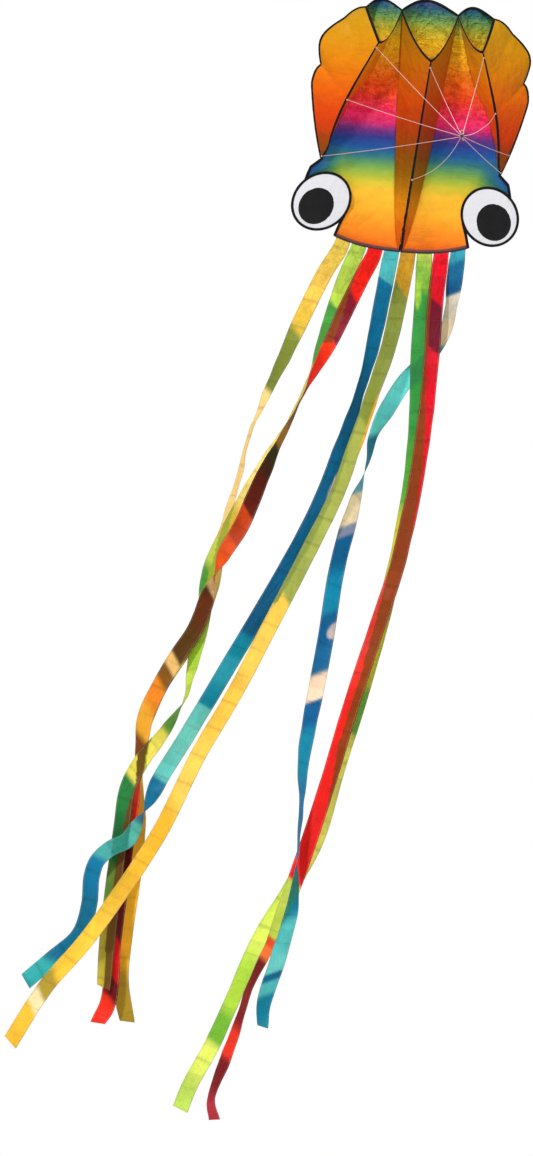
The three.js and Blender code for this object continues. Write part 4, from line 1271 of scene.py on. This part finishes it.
class Value:
    """A value in a material's nodes, that can be added, multiplied and so on."""

    def __init__(self, graph, socket):
        self.graph = graph
        self.socket = socket

    def do(self, operation, other=0.0, clamp=False):
        return self.graph.node("ShaderNodeMath", {0: self, 1: other}, operation=operation, use_clamp=clamp)

    def __add__(self, other):
        return self.do("ADD", other)

    def __sub__(self, other):
        return self.do("SUBTRACT", other)

    def __mul__(self, other):
        return self.do("MULTIPLY", other)

    def __truediv__(self, other):
        return self.do("DIVIDE", other)

    def __abs__(self):
        return self.do("ABSOLUTE")

    def rest(self):
        """What is left of 1."""
        return self.graph.node("ShaderNodeMath", {0: 1.0, 1: self}, operation="SUBTRACT")

    def range(self, low, high, to_low=0.0, to_high=1.0):
        return self.graph.node("ShaderNodeMapRange", {0: self, 1: low, 2: high, 3: to_low, 4: to_high},
                               clamp=True)

    def split(self):
        parts = self.graph.node("ShaderNodeSeparateXYZ", {0: self}).socket.node.outputs
        return [Value(self.graph, part) for part in parts]

    def tinted(self, factor, colour):
        """This colour multiplied by another, by a share."""
        return self.graph.blend("MULTIPLY", factor, self, colour)

    def toned(self, tone):
        """This colour multiplied by a number."""
        return self.tinted(1.0, self.graph.node("ShaderNodeCombineXYZ", {0: tone, 1: tone, 2: tone}))


class Graph:
    """Short ways to add and join a material's nodes."""

    def __init__(self, name):
        self.material = bpy.data.materials.new(name)
        self.material.use_nodes = True
        self.tree = self.material.node_tree
        self.shader = self.tree.nodes["Principled BSDF"]

    def join(self, value, socket):
        if isinstance(value, Value):
            self.tree.links.new(value.socket, socket)
        else:
            socket.default_value = value

    def node(self, kind, inputs=(), output=0, **settings):
        made = self.tree.nodes.new(kind)
        for key, value in settings.items():
            setattr(made, key, value)
        for key, value in dict(inputs).items():
            self.join(value, made.inputs[key])
        return Value(self, made.outputs[output])

    def position(self):
        return self.node("ShaderNodeTexCoord", output="Object")

    def lay(self):
        return self.node("ShaderNodeUVMap", uv_map="lay")

    def noise(self, vector, scale, detail=3.0, rough=0.55, distortion=0.0):
        return self.node("ShaderNodeTexNoise", {"Vector": vector, "Scale": scale, "Detail": detail,
                                                "Roughness": rough, "Distortion": distortion})

    def voronoi(self, vector, scale):
        return self.node("ShaderNodeTexVoronoi", {"Vector": vector, "Scale": scale}, feature="F1")

    def vector(self, operation, a, b):
        return self.node("ShaderNodeVectorMath", {0: a, 1: b}, operation=operation)

    def ramp(self, factor, stops):
        made = self.node("ShaderNodeValToRGB", {"Fac": factor})
        elements = made.socket.node.color_ramp.elements
        while len(elements) > 1:
            elements.remove(elements[-1])
        for k, (place, colour) in enumerate(stops):
            element = elements[0] if k == 0 else elements.new(place)
            element.position = place
            element.color = rgba(colour)
        return made

    def blend(self, kind, factor, a, b):
        return self.node("ShaderNodeMix", {0: factor, 6: a, 7: b}, 2, data_type="RGBA", blend_type=kind)

    def bump(self, *layers):
        """Bumps on top of each other, each a height, a strength and a distance."""
        normal = {}
        for height, strength, distance in layers:
            made = self.node("ShaderNodeBump", {"Height": height, "Strength": strength,
                                                "Distance": distance, **normal})
            normal = {"Normal": made}
        return made

    def shine_through(self, colour, normal, share):
        """Mixes in light that comes through the cloth from behind."""
        through = self.node("ShaderNodeBsdfTranslucent", {"Color": colour, "Normal": normal})
        shader = Value(self, self.shader.outputs[0])
        mixed = self.node("ShaderNodeMixShader", {0: share, 1: shader, 2: through})
        self.join(mixed, self.tree.nodes["Material Output"].inputs[0])

    def put(self, **sockets):
        for key, value in sockets.items():
            self.join(value, self.shader.inputs[key.replace("_", " ")])


def rgba(colour):
    return (*[float(c) for c in linear(colour)], 1)


def dashes(place, pitch, half):
    """1 around the middle of every pitch, out to half of it, and 0 elsewhere."""
    return abs((place / pitch).do("FRACT") - 0.5).do("LESS_THAN", half)


def weave(lay, thread=THREAD_PITCH, grid=FINE_RIPSTOP_PITCH):
    """Heights of a plain weave with the thicker threads of ripstop, and the grid alone."""
    across, along, _ = lay.split()
    waves = [(part * (2 * math.pi / thread)).do("SINE") for part in (across, along)]
    ripstop = dashes(across, grid, 0.07).do("MAXIMUM", dashes(along, grid, 0.07))
    return waves[0] * waves[1] * 0.35 + ripstop, ripstop


def crumple(graph, position, size):
    """Creased heights, like nylon that has been packed and pulled out again."""
    soft = graph.node("ShaderNodeTexNoise", {"Vector": position, "Scale": 1 / (size * 2.2), "Detail": 2.0},
                      output="Color")
    moved = graph.node("ShaderNodeVectorMath", {0: soft, "Scale": size * 0.9}, operation="SCALE")
    bent = graph.vector("ADD", position, moved)
    ridged = abs(graph.noise(bent, 1.4 / size, 3.0) - 0.5)
    return graph.voronoi(bent, 1 / size) + graph.voronoi(bent, 2.6 / size) * 0.35 - ridged * 1.6


def height_ramp(graph, position, stops, wobble):
    """Colour by height above the hem. The dyed colours' edges wander a little and sink towards the ears."""
    x, _, z = position.split()
    out = abs(x).do("SUBTRACT", EAR_START, clamp=True)
    z = z + out * EAR_SINK * z.range(0.34 - HEM_DROP, 0.27 - HEM_DROP)
    drift = graph.noise(position, 9.0, 4.0) - 0.5
    low, high = stops[0][0], stops[-1][0]
    share = (z + HEM_DROP + drift * wobble).range(low, high)
    return graph.ramp(share, [((height - low) / (high - low), colour) for height, colour in stops])


def streaks(graph, position, turn, size):
    """Fine sharp folds that run one way: turn is their slope in degrees."""
    mapped = graph.node("ShaderNodeMapping", {0: position, "Rotation": (0, math.radians(turn), 0),
                                              "Scale": (0.16 / size, 0.5 / size, 1 / size)},
                        vector_type="POINT")
    return abs(graph.noise(mapped, 1.0, 3.0, 0.6, 0.6) - 0.5).range(0.0, 0.10, 1.0, 0.0)


def cloth_material(name, stops, look):
    graph = Graph(name)
    position = graph.position()
    threads, ripstop = weave(graph.lay(), grid=RIPSTOP_PITCH)
    mottle = graph.noise(position, 26.0, 5.0, 0.6).range(0.35, 0.65, 0.955, 1.03)
    colour = height_ramp(graph, position, stops, look["wobble"]).toned(mottle)
    colour = colour.tinted(ripstop * 0.06, (0.25, 0.22, 0.22, 1))
    zone = position.split()[2].range(0.38 - HEM_DROP, 0.50 - HEM_DROP, look["calm"], 1.0)
    creases = crumple(graph, position, look["size"])
    patch = graph.noise(position, 7.0, 2.0).range(0.42, 0.60)
    lines = streaks(graph, position, 12, look["fine"]) * patch
    other = streaks(graph, position, -20, look["fine"] * 1.3) * patch.rest()
    upright = streaks(graph, position, 84, look["fine"] * 2.0)
    upright = upright * graph.noise(position, 5.0, 2.0).range(0.5, 0.6, 0.0, 0.5)
    lines = (lines.do("MAXIMUM", other) * zone).do("MAXIMUM", upright)
    # Painted shade in the creases and along the fine folds, and painted highlights on the crests of the
    # creases.
    colour = colour.tinted(creases.range(-0.3, 0.25, look["shade"], 0.0) * zone, (0.62, 0.36, 0.28, 1))
    colour = colour.tinted(lines * look["lines"], (0.42, 0.24, 0.2, 1))
    painted_highlight = creases.range(0.4, 0.8) * zone * look["painted_highlight"]
    colour = graph.blend("SCREEN", painted_highlight, colour, (0.6, 0.45, 0.2, 1))
    normal = graph.bump((creases * zone, look["bump"], look["size"] * 0.35),
                        (lines, look["bump"] * 0.9, look["fine"] * 0.16), (threads, 0.25, 0.00015))
    roughness = graph.noise(position, 60.0, 4.0).range(0.3, 0.7, look["rough"] - 0.06,
                                                       look["rough"] + 0.1)
    graph.put(Base_Color=colour, Roughness=roughness, Normal=normal, Sheen_Weight=0.02,
              Sheen_Roughness=0.4, Specular_IOR_Level=0.10)
    graph.shine_through(colour, normal, look["through"])
    return graph.material


def tape_material(name, colour, thread_colour):
    """Woven tape with rows of stitches along it."""
    graph = Graph(name)
    across, along, _ = graph.lay().split()
    rib = (along * (2 * math.pi / 0.0012)).do("SINE") * (across * (2 * math.pi / 0.0009)).do("SINE")
    row = abs(across.do("PINGPONG", 0.0048) - 0.0024).do("LESS_THAN", 0.0005)
    stitch = dashes(along, TAPE_STITCH_PITCH, 0.36) * row
    wear = graph.noise(graph.position(), 70.0, 5.0, 0.65).range(0.42, 0.72, 0.0, 0.5)
    base = graph.blend("MIX", wear, rgba(colour), rgba([min(255, c * 1.4 + 12) for c in colour]))
    base = graph.blend("MIX", stitch * 0.75, base, rgba(thread_colour))
    graph.put(Base_Color=base, Roughness=wear.range(0.0, 0.5, 0.62, 0.8),
              Normal=graph.bump((rib, 0.3, 0.0002), (stitch, 0.7, 0.0005)), Sheen_Weight=0.03,
              Specular_IOR_Level=0.15)
    return graph.material


def hem_material():
    """Dark orange cloth that darkens downwards to a black edge, along the hem's own curve."""
    graph = Graph("hem_maroon")
    position = graph.position()
    x, _, z = position.split()
    lift = (abs(x) / HEM_HALF_WIDTH).do("POWER", 2.5) * HEM_CORNER_LIFT
    above = z + HEM_DROP - lift + (graph.noise(position, 40.0) - 0.5) * 0.004
    base = graph.ramp(above.range(0.0, 0.013), [
        (0.0, BLACK), (0.26, (20, 14, 16)), (0.36, (92, 34, 34)), (0.8, (122, 46, 36)),
        (1.0, (150, 66, 34))])
    wear = graph.noise(position, 90.0, 5.0).range(0.4, 0.7, 0.0, 0.35)
    normal = graph.bump((graph.noise(position, 150.0, 4.0), 0.5, 0.002),
                        (weave(graph.lay(), 0.0013)[0], 0.3, 0.0002))
    graph.put(Base_Color=base.tinted(wear, (0.4, 0.35, 0.35, 1)), Roughness=0.62, Normal=normal,
              Sheen_Weight=0.2)
    return graph.material


def eye_material():
    graph = Graph("eye_white_cloth")
    position = graph.position()
    threads, ripstop = weave(graph.lay())
    creases = crumple(graph, position, 0.035)
    stain = graph.noise(position, 18.0, 5.0, 0.6).range(0.35, 0.7, 0.0, 0.22)
    base = graph.blend("MIX", stain, rgba(WHITE), rgba((206, 206, 214)))
    base = base.tinted(ripstop * 0.10, (0.6, 0.6, 0.65, 1))
    # Painted shade in the creases.
    base = base.tinted(creases.range(-0.3, 0.2, 0.14, 0.0), (0.6, 0.6, 0.66, 1))
    graph.put(Base_Color=base, Roughness=0.55, Sheen_Weight=0.2,
              Normal=graph.bump((creases, 0.35, 0.004), (threads, 0.25, 0.00015)))
    return graph.material


def pupil_material():
    graph = Graph("pupil_black_cloth")
    position = graph.position()
    lay = graph.lay()
    across, along, _ = lay.split()
    round_x = across / PUPIL_RADIUS[0]
    round_y = along / PUPIL_RADIUS[1]
    reach = (round_x * round_x + round_y * round_y).do("SQRT")
    dash = (round_y.do("ARCTAN2", round_x) * 126.0).do("SINE").do("GREATER_THAN", -0.55)
    stitch = dash * abs(reach - 0.95).do("LESS_THAN", 0.009)
    dull = graph.noise(position, 22.0, 5.0, 0.6).range(0.35, 0.7)
    base = graph.blend("MIX", dull, rgba((7, 7, 8)), rgba((17, 17, 18)))
    base = graph.blend("MIX", stitch * 0.8, base, rgba((38, 38, 41)))
    normal = graph.bump((crumple(graph, position, 0.03), 0.35, 0.004),
                        (weave(lay)[0], 0.3, 0.0002), (stitch, 0.6, 0.0006))
    graph.put(Base_Color=base, Roughness=0.55, Normal=normal, Sheen_Weight=0.03, Specular_IOR_Level=0.2)
    return graph.material


def ribbon_material(name, index):
    graph = Graph(name)
    lay = graph.lay()
    # The stored colour per point: the dyed colour with painted shade, painted glare and painted light
    # shining through.
    dye_and_painted_light = graph.node("ShaderNodeAttribute", output="Vector", attribute_name="dye_and_painted_light")
    across, along, _ = lay.split()
    shifted = graph.vector("ADD", lay, (index * 3.7, index * 1.9, 0))
    # Folds from storage, with painted light and shade: panels that are lighter and darker in turn, a painted
    # shade strip along each crease, and a thin darker line on the crease itself.
    count = (along + across * 0.12 + graph.noise(shifted, 2.2, 1.0) * 0.05) / FOLD_PITCH
    chance = graph.node("ShaderNodeTexWhiteNoise", {"W": count.do("FLOOR") + index * 17.0},
                        noise_dimensions="1D")
    near_fold = abs(count.do("FRACT") - 0.5)
    crease_shade_band = near_fold.range(0.02, 0.10, 1.0, 0.0) * chance
    line = near_fold.range(0.0, 0.02, 1.0, 0.0)
    mottle = graph.noise(shifted, 16.0, 5.0, 0.6)
    tone = mottle.range(0.3, 0.7, 0.92, 1.05) * chance.range(0.0, 1.0, 0.90, 1.06)
    colour = dye_and_painted_light.toned(tone * (crease_shade_band * 0.16).rest() * (line * 0.05).rest())
    edge = abs(across)
    inside = TAIL_WIDTH / 2 - HEM_FOLD
    colour = colour.tinted(edge.do("GREATER_THAN", inside) * 0.16, (0.3, 0.3, 0.3, 1))
    stitch = dashes(along, RIBBON_STITCH_PITCH, 0.36) * abs(edge - (inside + 0.001)).do("LESS_THAN", 0.0004)
    colour = graph.blend("MIX", stitch * 0.5, colour, (0.85, 0.85, 0.8, 1))
    threads, ripstop = weave(lay)
    colour = colour.tinted(ripstop * 0.07, (0.3, 0.3, 0.3, 1))
    wrinkle = graph.noise(graph.vector("MULTIPLY", shifted, (30.0, 13.0, 1.0)), 1.0, 4.0, 0.6, 0.8)
    # Painted shade in the wrinkles, strongest near the tail's top.
    wrinkle_shade = abs(wrinkle - 0.5).range(0.0, 0.045, 1.0, 0.0) * along.range(0.05, 0.42, 0.34, 0.08)
    colour = colour.tinted(wrinkle_shade, (0.42, 0.34, 0.25, 1))
    normal = graph.bump((wrinkle, 0.8, 0.007), (line - crease_shade_band, 0.5, 0.0016), (threads, 0.25, 0.00015),
                        (stitch, 0.5, 0.0004))
    graph.put(Base_Color=colour, Roughness=mottle.range(0.3, 0.7, 0.42, 0.56), Normal=normal,
              Sheen_Weight=0.05, Sheen_Roughness=0.4, Specular_IOR_Level=0.22)
    graph.shine_through(colour, normal, 0.42)
    return graph.material


def cord_material(name, colour, dark, radius):
    """Braided cord: flecks of a darker strand, about as large as the cord is thick."""
    graph = Graph(name)
    position = graph.position()
    fleck = graph.voronoi(position, 1 / (radius * 1.1))
    swirl = graph.noise(position, 1 / (radius * 2.2), 3.0, 0.6).range(0.4, 0.7, 0.0, 0.25)
    base = graph.blend("MIX", fleck.range(0.1, 0.7, 0.0, 0.45), rgba(colour), rgba(dark))
    graph.put(Base_Color=base.tinted(swirl, (0.6, 0.55, 0.55, 1)), Roughness=0.7, Sheen_Weight=0.3,
              Normal=graph.bump((fleck, 0.6, radius * 0.4)))
    return graph.material


def paint(material, *pieces):
    for piece in pieces:
        piece.data.materials.clear()
        piece.data.materials.append(material)


SAIL_LOOK = {"size": 0.022, "fine": 0.011, "bump": 1.0, "shade": 0.08, "painted_highlight": 0.14, "lines": 0.25,
             "calm": 0.10, "wobble": 0.014, "rough": 0.42, "through": 0.42}
PANEL_LOOK = {"size": 0.080, "fine": 0.030, "bump": 0.22, "shade": 0.08, "painted_highlight": 0.0, "lines": 0.05,
              "calm": 1.0, "wobble": 0.008, "rough": 0.46, "through": 0.12}
cloths = {
    "sail": cloth_material("rainbow_nylon", RAINBOW, SAIL_LOOK),
    "keel_centre": cloth_material("amber_nylon_centre", PANEL_CENTRE, PANEL_LOOK),
    "keel_left": cloth_material("amber_nylon_side", PANEL_SIDE, PANEL_LOOK)}
cloths["keel_right"] = cloths["keel_left"]
for kind, material in cloths.items():
    paint(material, *[sheet for name, sheet in sheets.items() if name.startswith(kind)])
whites, rims, pupils = zip(*eyes.values())
paint(tape_material("black_tape", BLACK, (30, 30, 33)), *tapes.values(), *rims)
paint(hem_material(), hem_tape)
paint(eye_material(), *whites)
paint(pupil_material(), *pupils)
paint(cord_material("pink_white_cord", CORD_PINK, (206, 160, 158), CORD_DIAMETER / 2),
      *[piece for pair in legs.values() for piece in pair], tow_loop, tow_end)
paint(cord_material("dark_cord", (58, 50, 52), (28, 24, 26), KNOT_CORD_RADIUS), tow_knot)
for index, (tail, _, _) in enumerate(tails.values()):
    paint(ribbon_material("ribbon_%d" % (index + 1), index), tail)


# ---------------------------------------------------------------- floor and light

def make_floor():
    (left, right), (front, back) = FLOOR_X, FLOOR_Y
    floor = add_object("floor", [(left, front, FLOOR_Z), (right, front, FLOOR_Z),
                                 (right, back, FLOOR_Z), (left, back, FLOOR_Z)], [(0, 1, 2, 3)])
    graph = Graph("pale_floor")
    graph.put(Base_Color=(0.86, 0.86, 0.85, 1), Roughness=0.85)
    paint(graph.material, floor)


def make_light():
    """A white backdrop, soft light from all sides, and two suns."""
    world = bpy.data.worlds.new("studio")
    bpy.context.scene.world = world
    world.use_nodes = True
    tree = world.node_tree
    tree.nodes.clear()
    out, pick, path, soft, plain = [tree.nodes.new("ShaderNode" + kind) for kind in (
        "OutputWorld", "MixShader", "LightPath", "Background", "Background")]
    for node, strength in ((soft, SOFT_LIGHT), (plain, 1.0)):
        node.inputs[0].default_value = (1, 1, 1, 1)
        node.inputs[1].default_value = strength
    for source, socket in ((path.outputs["Is Camera Ray"], pick.inputs[0]),
                           (soft.outputs[0], pick.inputs[1]), (plain.outputs[0], pick.inputs[2]),
                           (pick.outputs[0], out.inputs[0])):
        tree.links.new(source, socket)
    for name, (aim, energy, angle) in SUNS.items():
        data = bpy.data.lights.new(name, "SUN")
        data.energy = energy
        data.angle = math.radians(angle)
        lamp = bpy.data.objects.new(name, data)
        bpy.context.scene.collection.objects.link(lamp)
        lamp.rotation_mode = "QUATERNION"
        lamp.rotation_quaternion = Vector(aim).to_track_quat("-Z", "Y")


make_floor()
make_light()
bpy.context.scene.view_settings.view_transform = "Standard"
